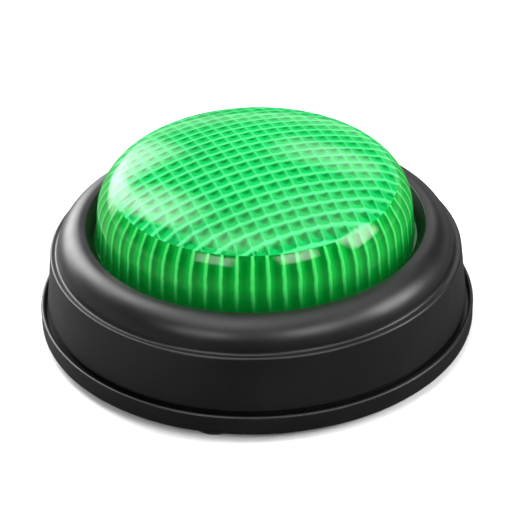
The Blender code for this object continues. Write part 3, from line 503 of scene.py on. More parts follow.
def opaque(colour):
    """A colour's socket as it is, or red, green and blue with an alpha of 1."""
    return colour if isinstance(colour, bpy.types.NodeSocket) else (*colour, 1)


class Look:
    """A new material's node tree, or the tree given, with short ways to add nodes and join them."""

    def __init__(self, name, tree=None):
        if tree is None:
            self.material = bpy.data.materials.new(name)
            self.material.use_nodes = True
            tree = self.material.node_tree
            tree.nodes.clear()
            self.output = tree.nodes.new("ShaderNodeOutputMaterial")
        self.tree = tree

    def add(self, kind, inputs=(), **settings):
        node = self.tree.nodes.new("ShaderNode" + kind)
        for key, value in settings.items():
            setattr(node, key, value)
        for key, value in dict(inputs).items():
            if isinstance(value, bpy.types.NodeSocket):
                self.tree.links.new(value, node.inputs[key])
            else:
                node.inputs[key].default_value = value
        return node

    def maths(self, operation, *values, clamp=False):
        inputs = dict(enumerate(values))
        return self.add("Math", inputs, operation=operation, use_clamp=clamp).outputs[0]

    def times(self, first, second):
        return self.maths("MULTIPLY", first, second)

    def place(self):
        return self.add("TexCoord").outputs["Object"]

    def parts(self, vector):
        """A vector's X, Y and Z."""
        return self.add("SeparateXYZ", {0: vector}).outputs

    def ray(self, kind):
        """1 for rays of this kind and 0 for the others."""
        return self.add("LightPath").outputs[f"Is {kind} Ray"]

    def noise(self, size, detail=4):
        """Noise from 0 to 1 whose blotches are about size across."""
        inputs = {"Vector": self.place(), "Scale": 1 / size, "Detail": detail, "Roughness": 0.6}
        return self.add("TexNoise", inputs).outputs["Fac"]

    def span(self, value, low, high, new_low, new_high):
        """Goes evenly from new_low to new_high as value goes from low to high."""
        return self.add("MapRange", dict(enumerate((value, low, high, new_low, new_high)))).outputs[0]

    def step_up(self, value, low, high, start):
        """Goes smoothly from start to 1 as value goes from low to high."""
        inputs = dict(enumerate((value, low, high, start)))
        return self.add("MapRange", inputs, interpolation_type="SMOOTHSTEP").outputs[0]

    def tint(self, share, first, second):
        """A colour that goes from first to second as share goes from 0 to 1."""
        inputs = {0: share, 6: opaque(first), 7: opaque(second)}
        return self.add("Mix", inputs, data_type="RGBA").outputs[2]

    def mix(self, share, first, second):
        """A number that goes from first to second as share goes from 0 to 1."""
        return self.add("Mix", {0: share, 2: first, 3: second}, data_type="FLOAT").outputs[0]

    def soft_edges(self, radius):
        return self.add("Bevel", {"Radius": radius}, samples=4).outputs[0]

    def bump(self, height, strength, distance, normal=None):
        inputs = {"Height": height, "Strength": strength, "Distance": distance}
        if normal:
            inputs["Normal"] = normal
        return self.add("Bump", inputs).outputs["Normal"]

    def shader(self, kind, **inputs):
        titles = (key.replace("_", " ").title().replace("Ior", "IOR") for key in inputs)
        return self.add("Bsdf" + kind, dict(zip(titles, inputs.values()))).outputs[0]

    def blend(self, share, first, second):
        return self.add("MixShader", {0: share, 1: first, 2: second}).outputs[0]

    def finish(self, shader):
        self.tree.links.new(shader, self.output.inputs["Surface"])
        return self.material

    def principled(self, **inputs):
        return self.finish(self.shader("Principled", **inputs))


def black_plastic(name, roughness=0.34, grain=0.10):
    """Moulded black plastic: fine grain, a few handling smears, and edges rubbed a little smoother."""
    look = Look(name)
    smear = look.noise(14 * MM, 3)
    fleck = look.noise(0.35 * MM, 3)
    wave = look.noise(6 * MM, 2)
    rough = look.span(smear, 0.3, 0.7, roughness - 0.05, roughness + 0.07)
    rough = look.maths("ADD", rough, look.times(fleck, 0.04))
    patch = look.span(smear, 0.35, 0.75, 0, 1)
    colour = look.tint(patch, (0.0035, 0.0035, 0.0038), (0.0056, 0.0055, 0.0055))
    normal = look.bump(fleck, grain, 0.05 * MM, look.soft_edges(0.12 * MM))
    normal = look.bump(wave, 0.12, 0.15 * MM, normal)
    return look.principled(base_color=colour, roughness=rough, normal=normal, ior=1.5)


LENS_CLEAR = (0.9, 1.0, 0.93, 1)
LENS_IOR = 1.49
MIRROR_SHARE = 0.7
MIRROR_LIMIT = 0.22


def lens_skin():
    """The lens's smooth outside. It bends what is seen through it; light passes straight in."""
    look = Look("lens_skin")
    smear = look.noise(9 * MM)
    rough = look.span(smear, 0.35, 0.7, 0.04, 0.13)
    wave = look.bump(look.noise(11 * MM, 2), 0.25, 0.25 * MM)
    mirror = look.shader("Glossy", color=(1, 1, 1, 1), roughness=rough, normal=wave)
    bent = look.shader("Refraction", color=LENS_CLEAR, roughness=0.0, ior=LENS_IOR)
    share = look.add("Fresnel", {"IOR": LENS_IOR, "Normal": wave}).outputs[0]
    share = look.maths("MINIMUM", look.times(share, MIRROR_SHARE), MIRROR_LIMIT)
    seen = look.blend(share, bent, mirror)
    clear = look.shader("Transparent", color=LENS_CLEAR)
    return look.finish(look.blend(look.ray("Shadow"), seen, clear))


GREEN_LINE = (0.15, 0.90, 0.41)
GREEN_MID = (0.012, 0.60, 0.165)
GREEN_DEEP = (0.0, 0.15, 0.017)
FLUTE_LINE = (0.13, 0.95, 0.27)
FLUTE_MID = (0.008, 0.52, 0.08)


def relief_shader(look, line, middle, share, tone_and_painted_shade, painted_glow):
    """Tinted plastic lit from both sides: share is 0 on a line and 1 inside, tone_and_painted_shade
    darkens it, and painted_glow adds a painted glow.

    Where the inner side faces the eye it is painted darker, as painted shade for the shaded inside seen
    through it; where it turns away it keeps its lighter colour.
    """
    body = look.tint(share, line, middle)
    facing = look.add("LayerWeight", {"Blend": 0.5}).outputs["Facing"]
    # Painted shade: darker where the inner side faces the eye, standing in for the shaded inside seen
    # through the plastic.
    dark = look.times(look.span(facing, 0.0, 0.2, 0.9, 0.0), share)
    body = look.tint(dark, body, GREEN_DEEP)
    body = look.tint(tone_and_painted_shade, body, GREEN_DEEP)
    diffuse = look.shader("Diffuse", color=body)
    through = look.shader("Translucent", color=body)
    solid = look.blend(0.35, diffuse, through)
    solid = look.blend(0.15, solid, look.shader("Glossy", color=body, roughness=0.2))
    solid = look.blend(0.18, solid, look.shader("Transparent", color=body))
    # Painted glow: the plastic gives off light in its own colour, though it is no lamp.
    light = look.add("Emission", {"Color": body, "Strength": painted_glow}).outputs[0]
    return look.add("AddShader", {0: solid, 1: light}).outputs[0]


def line_distance(look, value):
    """0 where value is whole and 1 midway between whole numbers."""
    part = look.maths("FRACT", value)
    off = look.maths("ABSOLUTE", look.maths("SUBTRACT", part, 0.5))
    return look.maths("SUBTRACT", 1.0, look.times(off, 2.0))


def lens_grid():
    look = Look("lens_grid")
    turn = look.add("VectorRotate", {"Vector": look.place(), "Angle": -GRID_TURN}, rotation_type="Z_AXIS")
    parts = look.parts(turn.outputs[0])
    across = line_distance(look, look.maths("DIVIDE", parts[0], GRID_PITCH))
    along = line_distance(look, look.maths("DIVIDE", parts[1], GRID_PITCH))
    share = look.times(look.step_up(across, 0.03, 0.26, 0.4), look.step_up(along, 0.06, 0.46, 0.0))
    cloud = look.span(look.noise(17 * MM, 2), 0.35, 0.75, 0.0, 0.2)
    return look.finish(relief_shader(look, GREEN_LINE, GREEN_MID, share, cloud, 0.12))


def lens_flutes():
    look = Look("lens_flutes")
    parts = look.parts(look.place())
    angle = look.maths("ARCTAN2", parts[1], parts[0])
    waver = look.span(look.noise(2.5 * MM, 2), 0.3, 0.7, -0.035, 0.035)
    count = look.maths("ADD", look.times(angle, FLUTES / math.tau), waver)
    share = look.step_up(line_distance(look, count), 0.1, 0.36, 0.0)
    # Painted shade: the flutes darken towards the bottom, where the housing's lip shades them.
    tone_and_painted_shade = look.span(parts[2], LENS_RIM_TOP + 6 * MM, LENS_RIM_TOP + 1.5 * MM, 0.25, 0.93)
    return look.finish(relief_shader(look, FLUTE_LINE, FLUTE_MID, share, tone_and_painted_shade, 0.22))


def solid(name, first, second, roughness, blotch=3 * MM, coat=0.0):
    """A plain material with blotches between two colours, uneven shine and a fine grain."""
    look = Look(name)
    patch = look.noise(blotch)
    fleck = look.noise(0.2 * MM, 3)
    colour = look.tint(look.span(patch, 0.3, 0.7, 0, 1), first, second)
    rough = look.span(patch, 0.3, 0.7, roughness * 0.8, roughness * 1.25)
    normal = look.bump(fleck, 0.15, 0.04 * MM, look.soft_edges(0.1 * MM))
    return look.principled(base_color=colour, roughness=rough, normal=normal, coat_weight=coat)


def rubber():
    look = Look("foot_rubber")
    patch = look.noise(2 * MM)
    fleck = look.noise(0.25 * MM)
    colour = look.tint(look.span(patch, 0.3, 0.75, 0, 1), (0.014, 0.014, 0.015), (0.032, 0.031, 0.029))
    normal = look.bump(fleck, 0.35, 0.08 * MM)
    return look.principled(base_color=colour, roughness=0.8, normal=normal)


def brushed_metal(name, colour, roughness):
    """Plated metal: fine turned rings round each piece's own axis, and a few dull spots."""
    look = Look(name)
    inputs = {"Vector": look.place(), "Scale": 1 / (1.2 * MM), "Distortion": 2.0}
    ring = look.add("TexWave", inputs, wave_type="RINGS").outputs["Fac"]
    dull = look.noise(1.5 * MM)
    rough = look.span(dull, 0.35, 0.75, roughness, roughness + 0.25)
    tone = look.tint(look.span(dull, 0.4, 0.8, 0, 1), colour, tuple(0.72 * c for c in colour))
    normal = look.bump(ring, 0.12, 0.03 * MM)
    return look.principled(base_color=tone, roughness=rough, metallic=1.0, normal=normal)


def board_green():
    """Solder mask over copper tracks that run square to each other."""
    look = Look("board_green")
    pitch = 1.7 * MM
    place = look.place()
    snapped = look.add("VectorMath", {0: place, 1: (pitch,) * 3}, operation="SNAP").outputs[0]
    patch = look.add("TexWhiteNoise", {"Vector": snapped}, noise_dimensions="3D").outputs["Value"]
    lines = [line_distance(look, look.maths("DIVIDE", part, pitch)) for part in look.parts(place)[:2]]
    chosen = look.mix(look.maths("GREATER_THAN", patch, 0.5), *lines)
    track = look.span(chosen, 0.55, 0.62, 0, 1)
    haze = look.noise(5 * MM, 3)
    colour = look.tint(track, (0.006, 0.085, 0.03), (0.02, 0.20, 0.07))
    colour = look.tint(look.span(haze, 0.4, 0.9, 0, 0.35), colour, (0.01, 0.05, 0.02))
    normal = look.bump(track, 0.4, 0.05 * MM)
    return look.principled(base_color=colour, roughness=0.32, normal=normal, coat_weight=0.3)


def cell_jacket():
    """A battery's sleeve: dark along most of it, then a pale stripe and orange, with metal ends."""
    look = Look("cell_jacket")
    along = look.parts(look.place())[2]
    scuff = look.noise(1.2 * MM)
    orange = look.span(along, 11 * MM, 11.4 * MM, 0, 1)
    stripe = look.times(
        look.span(along, 9.8 * MM, 10 * MM, 0, 1), look.span(along, 11 * MM, 10.8 * MM, 0, 1)
    )
    colour = look.tint(orange, (0.012, 0.014, 0.016), (0.55, 0.20, 0.03))
    colour = look.tint(stripe, colour, (0.75, 0.75, 0.72))
    ends = look.maths("GREATER_THAN", look.maths("ABSOLUTE", along), 21.2 * MM)
    colour = look.tint(ends, colour, (0.72, 0.70, 0.66))
    rough = look.span(scuff, 0.3, 0.7, 0.22, 0.42)
    normal = look.bump(scuff, 0.08, 0.05 * MM)
    return look.principled(base_color=colour, roughness=rough, metallic=ends, normal=normal)


def clear_epoxy():
    """An LED's clear body, slightly milky, that lets lamps light what is under it."""
    look = Look("clear_led")
    milk = look.noise(1.5 * MM, 3)
    colour = look.tint(milk, (0.95, 1.0, 0.96), (0.8, 0.88, 0.82))
    rough = look.span(milk, 0.3, 0.7, 0.04, 0.14)
    passed = {"transmission_weight": 0.85, "ior": 1.5}
    body = look.shader("Principled", base_color=colour, roughness=rough, **passed)
    clear = look.shader("Transparent", color=(0.9, 0.95, 0.9, 1))
    return look.finish(look.blend(look.ray("Shadow"), body, clear))


RESISTOR_BANDS = (
    (-1.7 * MM, (0.18, 0.07, 0.03)),
    (-0.7 * MM, (0.01, 0.01, 0.01)),
    (0.3 * MM, (0.55, 0.03, 0.02)),
    (1.9 * MM, (0.45, 0.30, 0.06)),
)
RESISTOR_BAND_HALF = 0.24 * MM


def banded_tan():
    """A resistor's coat with coloured bands round it."""
    look = Look("resistor_tan")
    along = look.parts(look.place())[2]
    patch = look.noise(0.8 * MM, 3)
    colour = look.tint(patch, (0.50, 0.35, 0.20), (0.62, 0.46, 0.29))
    for middle, paint in RESISTOR_BANDS:
        off = look.maths("ABSOLUTE", look.maths("SUBTRACT", along, middle))
        colour = look.tint(look.maths("LESS_THAN", off, RESISTOR_BAND_HALF), colour, paint)
    normal = look.bump(patch, 0.1, 0.04 * MM)
    return look.principled(base_color=colour, roughness=0.35, normal=normal, coat_weight=0.4)


# --- lens ---------------------------------------------------------------------------------------


def lens_outline():
    """The outside from the apex down to the rim's underside."""
    first, last = math.degrees(SHOULDER_ANGLE), math.degrees(LENS_DRAFT)
    dome = arc((0, DOME_CENTRE), (DOME_RADIUS, DOME_RADIUS), 90, first, 14)
    shoulder = arc(
        (SHOULDER_CENTRE, SHOULDER_HEIGHT), (SHOULDER_RADIUS, SHOULDER_RADIUS), first, last, 20
    )
    radius, height = shoulder[-1]
    fall = height - LENS_RIM_TOP
    spread = fall * math.tan(LENS_DRAFT)
    wall = [(radius + spread * share, height - fall * share) for share in (0.35, 0.7, 1.0)]
    rim = [(LENS_RIM_RADIUS, LENS_RIM_TOP), (LENS_RIM_RADIUS, LENS_BOTTOM)]
    return dome + shoulder[1:] + wall + rim


def inner_point(travel):
    """Radius, height and outward normal on the inset inner side, travel below the grid's edge."""
    left = max(0, travel - INNER_SHOULDER_LENGTH)
    angle = LENS_DRAFT if left else INNER_FIRST_ANGLE - travel / INNER_SHOULDER
    radius = SHOULDER_CENTRE + INNER_SHOULDER * math.cos(angle) + left * math.sin(angle)
    height = SHOULDER_HEIGHT + INNER_SHOULDER * math.sin(angle) - left * math.cos(angle)
    return radius, height, angle


def dome_point(radius):
    """Height and outward normal's angle of the inset inner side, above a radius."""
    dome = DOME_RADIUS - GRID_INSET
    if radius <= dome * math.cos(SHOULDER_ANGLE):
        angle = math.acos(radius / dome)
        return DOME_CENTRE + dome * math.sin(angle), angle
    angle = math.acos(min(1, (radius - SHOULDER_CENTRE) / INNER_SHOULDER))
    return SHOULDER_HEIGHT + INNER_SHOULDER * math.sin(angle), angle


def pushed_in(x, y, height, angle, amount):
    """The point moved inwards by amount, against a normal that rises at angle."""
    radius = math.hypot(x, y) or 1e-9
    lean = math.cos(angle) * amount / radius
    return x - x * lean, y - y * lean, height - math.sin(angle) * amount


def grid_faces():
    """Squares between the whole-number corners that lie inside the grid's edge."""
    step = GRID_PITCH / GRID_STEPS
    reach = int(GRID_RADIUS / step) + 1
    span = range(-reach, reach + 1)
    within = {(i, j): 0 for i in span for j in span if math.hypot(i, j) * step < GRID_RADIUS - step / 2}
    squares = [[(i, j), (i + 1, j), (i + 1, j + 1), (i, j + 1)] for i, j in within]
    return [square for square in squares if all(corner in within for corner in square)]


def edge_corners(faces):
    """The corners on sides that only one face has."""
    sides = Counter(frozenset(pair) for face in faces for pair in zip(face, face[1:] + face[:1]))
    return {corner for side, count in sides.items() if count == 1 for corner in side}


def bulge(count):
    """0 on a cell's lines and 1 in its middle, for a place counted in steps across the cells."""
    part = count / GRID_STEPS
    return 1 - (2 * (part - math.floor(part)) - 1) ** 2


def grid_point(i, j, on_edge):
    """A corner's place: on the grid's edge, or on the dome and pushed in by its cell's bulge."""
    step = GRID_PITCH / GRID_STEPS
    u, v = i * step, j * step
    x = u * math.cos(GRID_TURN) - v * math.sin(GRID_TURN)
    y = u * math.sin(GRID_TURN) + v * math.cos(GRID_TURN)
    radius = math.hypot(x, y)
    if on_edge:
        return x * GRID_RADIUS / radius, y * GRID_RADIUS / radius, dome_point(GRID_RADIUS)[0]
    fade = min(1, (GRID_RADIUS - radius) / step / 2)
    return pushed_in(x, y, *dome_point(radius), PILLOW * bulge(i) * bulge(j) * fade)


def grid_mesh():
    """The square cells, each bulging inwards, and the vertices on the edge that ends them."""
    faces = grid_faces()
    edge = edge_corners(faces)
    corners = sorted({corner for face in faces for corner in face})
    number = {corner: index for index, corner in enumerate(corners)}
    points = [grid_point(*corner, corner in edge) for corner in corners]
    numbered = [[number[corner] for corner in face[::-1]] for face in faces]
    return points, numbered, [number[corner] for corner in edge]


def flute_rows():
    """Distances below the grid's edge, closer together on the shoulder."""
    wall = (SHOULDER_HEIGHT + INNER_SHOULDER * math.sin(LENS_DRAFT) - LENS_BOTTOM) / math.cos(LENS_DRAFT)
    end = INNER_SHOULDER_LENGTH
    return [*np.linspace(0, end, 13), *np.linspace(end, end + wall, 11)[1:]]


def flute_mesh():
    """The fluted wall, row by row from the grid's edge down, with so many columns round."""
    columns = FLUTES * FLUTE_STEPS
    points = []
    rows = flute_rows()
    for travel in rows:
        radius, height, angle = inner_point(travel)
        top = (1 - min(travel / FLUTE_ROUND, 1)) ** 2
        for column in range(columns):
            turn = math.tau * column / columns
            across = 2 * (column % FLUTE_STEPS) / FLUTE_STEPS - 1
            rise = FLUTE_DEPTH * max(0, 1 - across**2 - top)
            x, y = radius * math.cos(turn), radius * math.sin(turn)
            points.append(pushed_in(x, y, height, angle, rise))
    faces = []
    for high in range(0, (len(rows) - 1) * columns, columns):
        low = high + columns
        for column in range(columns):
            after = (column + 1) % columns
            faces.append([high + column, high + after, low + after, low + column])
    return points, faces, columns


def stitched(points, first, second):
    """Triangles between two rings of numbered points."""
    first, second = (sorted(ring, key=lambda number: turn_of(points[number])) for ring in (first, second))
    first_turns, second_turns = (
        [turn_of(points[number]) for number in ring] + [turn_of(points[ring[0]]) + math.tau]
        for ring in (first, second)
    )
    faces = []
    a = b = 0
    while a < len(first) or b < len(second):
        here = [first[a % len(first)], second[b % len(second)]]
        if b >= len(second) or (a < len(first) and first_turns[a + 1] <= second_turns[b + 1]):
            a += 1
            faces.append([here[0], first[a % len(first)], here[1]])
        else:
            b += 1
            faces.append([here[0], second[b % len(second)], here[1]])
    return faces


def build_lens(materials):
    """The skin, the grid and the flutes, stitched into one closed shell."""
    skin, skin_faces = lathe(lens_outline(), LENS_STEPS)
    cells, cell_faces, ring = grid_mesh()
    walls, wall_faces, columns = flute_mesh()
    points = skin + cells + walls
    groups = [skin_faces, cell_faces, wall_faces]
    starts = [0, len(skin), len(skin) + len(cells)]
    faces, slots = [], []
    for slot, (group, start) in enumerate(zip(groups, starts)):
        faces += [[start + number for number in face] for face in group]
        slots += [slot] * len(group)
    joints = (
        ([starts[1] + number for number in ring], range(starts[2], starts[2] + columns), 1),
        (range(len(points) - columns, len(points)), range(starts[1] - LENS_STEPS, starts[1]), 2),
    )
    for first, second, slot in joints:
        joined = stitched(points, first, second)
        faces += joined
        slots += [slot] * len(joined)
    lens = add_mesh("lens_dome", points, faces, materials, slots, sharp=24)
    closed(lens.data, merge=False)
    stands_for(lens, "lens_dome")


# --- housing ------------------------------------------------------------------------------------


def housing_outline():
    tongue = WALL_FOOT_RADIUS - TONGUE_STEP
    crown = arc((CROWN_RADIUS, LEDGE_TOP), (RING_RADIUS - CROWN_RADIUS, CROWN_TOP - LEDGE_TOP), 88, 0, 22)
    lip = (LIP_EDGE_RADIUS + LIP_ROUND, CROWN_TOP - LIP_ROUND)
    crease = (RING_RADIUS + CREASE_ROUND, LEDGE_TOP + CREASE_ROUND)
    return [
        *arc(lip, (LIP_ROUND, LIP_ROUND), 165, 90, 5),
        *crown[1:-1],
        *arc(crease, (CREASE_ROUND, CREASE_ROUND), 180, 270, 5),
        *round_top(LEDGE_RADIUS, LEDGE_TOP, LEDGE_ROUND, 8),
        *round_foot(WALL_FOOT_RADIUS, WALL_FOOT, WALL_FOOT_ROUND, 4),
        (tongue, WALL_FOOT),
        (tongue, GROOVE_FLOOR + GAP),
        (WALL_FOOT_RADIUS - WALL_THICK, GROOVE_FLOOR + GAP),
        (LEDGE_RADIUS - WALL_THICK, LEDGE_TOP - WALL_THICK),
        (RING_RADIUS - WALL_THICK, LEDGE_TOP),
        (LENS_RIM_RADIUS + LENS_RIM_CLEARANCE, LIP_FLOOR),
        (LIP_RADIUS, LIP_FLOOR),
        (LIP_RADIUS, LIP_FLOOR + LIP_LAND),
    ]


def build_housing(material):
    """The shell with its four screw posts, each webbed to the wall."""
    shell = turned("housing", housing_outline(), material, ROUND_STEPS)
    wall = WALL_FOOT_RADIUS - WALL_THICK
    low = PILLAR_TOP + GAP
    added, removed = [], []
    for x, y, angle in around(PILLAR_ORBIT, PILLAR_ANGLE):
        web = box("web", (PILLAR_ORBIT, -WEB_HALF, low), (wall, WEB_HALF, POST_TOP))
        web.rotation_euler.z = math.radians(angle)
        added += [web, rod("post", POST_RADIUS, low, POST_TOP, (x, y))]
        removed.append(rod("post_hole", HOLE_RADIUS, low - GAP, POST_TOP + GAP, (x, y)))
    stands_for(shaped(shell, added, removed), "upper_housing")


# --- base ---------------------------------------------------------------------------------------


def base_outline():
    inside = SPIGOT_RADIUS - SPIGOT_THICK
    half = RIM_THICK / 2
    return [
        (0, FLOOR_TOP),
        (inside, FLOOR_TOP),
        (inside, SPIGOT_TOP),
        (SPIGOT_RADIUS, SPIGOT_TOP),
        (SPIGOT_RADIUS, GROOVE_FLOOR),
        (BASE_RADIUS - RIM_THICK, GROOVE_FLOOR),
        *arc((BASE_RADIUS - half, RIM_TOP - half), (half, half), 180, 0, 10),
        *round_foot(BASE_RADIUS, FLOOR, BASE_EDGE, 6),
        (0, FLOOR),
    ]


def speaker_seat(foot):
    """The ring that stands up round the speaker."""
    inner = SPEAKER_RADIUS + GAP
    outer = inner + SEAT_WALL
    top = SPEAKER_TOP - GAP
    section = [(outer, top), (outer, foot), (inner, foot), (inner, top)]
    return ring("seat", section, LARGE_STEPS, (0, SPEAKER_Y))


def base_ribs():
    """What stands up from the floor: bay, pillars, stands, posts, locator, boss and speaker seat."""
    foot = FLOOR_TOP - GAP
    half_length = BAY_LENGTH / 2 + BAY_WALL
    half_width = BAY_WIDTH / 2 + BAY_WALL
    low, high = (-half_length, BAY_Y - half_width, foot), (half_length, BAY_Y + half_width, BAY_TOP)
    ribs = [box("bay", low, high)]
    for x, y, _ in around(PILLAR_ORBIT, PILLAR_ANGLE):
        ribs.append(rod("pillar", PILLAR_RADIUS, foot, PILLAR_TOP, (x, y)))
    for side in (-1, 1):
        ribs.append(rod("stand", STAND_RADIUS, foot, BAY_TOP, (side * STAND_X, STAND_Y)))
        ribs.append(rod("post", STAND_RADIUS, foot, SPEAKER_TOP, (side * RETAINER_EAR_X, SPEAKER_Y)))
    ribs.append(rod("locator", LOCATOR_RADIUS, BAY_TOP - GAP, BOARD_HIGH.z + GAP, (0, LOCATOR_Y)))
    ribs.append(rod("boss", BOSS_RADIUS, foot, BOSS_TOP, (0, EAR_Y)))
    ribs.append(speaker_seat(foot))
    return ribs


def hook_cutters(side, below):
    """A hook's slot under the front edge, and the gate in the bay's wall that it goes in by."""
    low_x = side * HOOK_X - HOOK_HALF - 2 * GAP
    high_x = side * HOOK_X + HOOK_HALF + 2 * GAP
    inner_y = BAY_Y - BAY_WIDTH / 2 + GAP
    slot_low = (low_x, DOOR_FRONT - HOOK_REACH - GAP, FLOOR_TOP + GAP / 3)
    gate_low = (low_x, DOOR_FRONT - DOOR_SLACK, below)
    return [
        box("slot", slot_low, (high_x, inner_y, FLOOR_TOP + 3 * HOOK_THICK)),
        box("gate", gate_low, (high_x, inner_y, FLOOR_TOP + HOOK_THICK)),
    ]


def tab_cutter(side):
    """The slot that a contact's tab leaves the bay through."""
    half_length = BAY_LENGTH / 2
    y = BAY_Y + side * CELL_PITCH / 2
    low = (half_length - GAP, y - TAB_SLOT_HALF_WIDTH, TAB_SLOT_LOW)
    return box("tab", low, (half_length + BAY_WALL + GAP, y + TAB_SLOT_HALF_WIDTH, TAB_SLOT_HIGH))


def bay_cutters(below):
    """The hollow for the cells, the step the door sits in, and the slots for hooks and tabs."""
    half_length = BAY_LENGTH / 2
    half_width = BAY_WIDTH / 2
    step = DOOR_TOP + GAP / 2
    hollow_low = (-half_length, BAY_Y - half_width, below)
    step_low = (-DOOR_HALF_LENGTH - GAP, DOOR_FRONT - DOOR_SLACK, below)
    tools = [
        box("hollow", hollow_low, (half_length, BAY_Y + half_width, BAY_CEILING)),
        box("step", step_low, (DOOR_HALF_LENGTH + GAP, DOOR_REAR + GAP, step)),
        rod("ear_step", EAR_RADIUS + GAP, below, step, (0, EAR_Y)),
        rod("door_hole", HOLE_RADIUS, below, BOSS_TOP - MM, (0, EAR_Y)),
    ]
    for side in (-1, 1):
        tools += [*hook_cutters(side, below), tab_cutter(side)]
    return tools


def slot_outline(x, y, reach):
    """A sound slot along Y with round ends."""
    half = (GRILLE_HALF, GRILLE_HALF)
    straight = reach - GRILLE_HALF
    return [*arc((x, y + straight), half, 0, 180, 8), *arc((x, y - straight), half, 180, 360, 8)]


def hole_cutters(below):
    """Screw wells and holes, foot sockets and the sound slots."""
    tools = []
    for x, y, _ in around(PILLAR_ORBIT, PILLAR_ANGLE):
        tools.append(rod("well", WELL_RADIUS, below, SCREW_SEAT, (x, y)))
        tools.append(rod("hole", HOLE_RADIUS, below, PILLAR_TOP + GAP, (x, y)))
    for x, y, _ in around(FOOT_ORBIT, FOOT_ANGLE):
        tools.append(rod("socket", FOOT_RADIUS + GAP, below, FOOT_TOP + GAP, (x, y)))
    low = FLOOR_TOP + GAP
    for side in (-1, 1):
        tools.append(rod("hole", HOLE_RADIUS, low, BOARD_LOW.z, (side * STAND_X, STAND_Y)))
        tools.append(rod("hole", HOLE_RADIUS, low, SPEAKER_TOP + GAP, (side * RETAINER_EAR_X, SPEAKER_Y)))
    for slot in range(GRILLE_SLOTS):
        across = (slot - (GRILLE_SLOTS - 1) / 2) * GRILLE_PITCH
        reach = math.sqrt(GRILLE_RADIUS**2 - across**2)
        tools.append(prism("sound_slot", slot_outline(across, SPEAKER_Y, reach), below, FLOOR_TOP + GAP))
    return tools


def build_base(material):
    dish = turned("base", base_outline(), material, ROUND_STEPS)
    below = FLOOR - GAP
    stands_for(shaped(dish, base_ribs(), bay_cutters(below) + hole_cutters(below)), "base_plate")


def door_outline():
    """A rectangle with round corners, and the screw ear on its rear edge."""
    corner = (DOOR_CORNER, DOOR_CORNER)
    x, low, high = DOOR_HALF_LENGTH - DOOR_CORNER, DOOR_FRONT + DOOR_CORNER, DOOR_REAR - DOOR_CORNER
    ear = math.degrees(math.asin((DOOR_REAR - EAR_Y) / EAR_RADIUS))
    return [
        *arc((x, low), corner, -90, 0, 6),
        *arc((x, high), corner, 0, 90, 6),
        *arc((0, EAR_Y), (EAR_RADIUS, EAR_RADIUS), ear, 180 - ear, 32),
        *arc((-x, high), corner, 90, 180, 6),
        *arc((-x, low), corner, 180, 270, 6),
    ]


def door_hook(side):
    """A riser on the door and the finger that reaches forward from it."""
    low_x, high_x = side * HOOK_X - HOOK_HALF, side * HOOK_X + HOOK_HALF
    riser_y = DOOR_FRONT + GAP
    tip_y = DOOR_FRONT - HOOK_REACH + HOOK_THICK
    top = FLOOR_TOP + GAP + HOOK_THICK
    return [
        box("riser", (low_x, riser_y, DOOR_TOP - GAP), (high_x, riser_y + HOOK_THICK, top)),
        box("finger", (low_x, tip_y, FLOOR_TOP + GAP), (high_x, DOOR_FRONT + HOOK_THICK, top)),
    ]


def grip_bar(bar):
    y = DOOR_REAR - GRIP_FIRST - GRIP_PITCH * bar
    low = (-GRIP_HALF_LENGTH, y - GRIP_HALF_WIDTH, FLOOR - GRIP_RISE)
    return box("grip", low, (GRIP_HALF_LENGTH, y + GRIP_HALF_WIDTH, FLOOR + GAP))


def build_door(material):
    """The door with its two hooks, a ribbed thumb grip and the screw's well."""
    door = plate("door", door_outline(), FLOOR, DOOR_TOP, DOOR_EDGE, material)
    added = [*door_hook(-1), *door_hook(1), *(grip_bar(bar) for bar in range(GRIP_BARS))]
    below = FLOOR - GAP
    removed = [
        rod("ear_hole", HOLE_RADIUS, below, DOOR_TOP + GAP, (0, EAR_Y)),
        rod("ear_well", WELL_RADIUS, below, EAR_WELL, (0, EAR_Y)),
    ]
    stands_for(shaped(door, added, removed), "battery_door")


def build_feet(material):
    """Rubber discs with a rounded edge and two shallow rings moulded in the face they stand on."""
    half, dip = FOOT_RING_HALF, FOOT_RING_DEPTH
    section = ((half, 0), (half / 2, dip), (-half / 2, dip), (-half, 0))
    rings = [(radius + across, up) for radius in FOOT_RINGS for across, up in section]
    foot = round_foot(FOOT_RADIUS, 0, FOOT_EDGE, 6)
    outline = [(0, FOOT_TOP), (FOOT_RADIUS, FOOT_TOP), *foot, *rings, (0, 0)]
    for number, (x, y, _) in enumerate(around(FOOT_ORBIT, FOOT_ANGLE), 1):
        turned_part(f"rubber_foot_{number}", outline, material, 64, (x, y, 0))


# --- screws and springs -------------------------------------------------------------------------


def screw_outline(head, length):
    """A pan head and a threaded shank in section, with the seat at height 0."""
    across, up = HEAD_CROWN[0], HEAD_CROWN[1] * head
    crown = arc((HEAD_RADIUS - across, head - up), (across, up), 90, 0, 6)
    root = SCREW_RADIUS - THREAD_DEPTH
    thread = []
    height = -0.2 * MM
    while height - THREAD_PITCH > -length:
        thread += [(root, height), (SCREW_RADIUS, height - THREAD_PITCH / 2)]
        height -= THREAD_PITCH
    tip = [(root, height), (0, -length - SCREW_RADIUS)]
    return [(0, head), *crown, (HEAD_RADIUS, 0), (SCREW_RADIUS, 0), *thread, *tip]


def recess_bar(head, reach_x, reach_y):
    """One bar of a cross recess, narrower at the bottom."""
    cutter = box("recess", (-reach_x, -reach_y, -RECESS_DEPTH * head), (reach_x, reach_y, head))
    for vertex in cutter.data.vertices:
        if vertex.co.z < 0:
            vertex.co.x *= RECESS_TAPER
            vertex.co.y *= RECESS_TAPER
    cutter.location.z = head
    return cutter


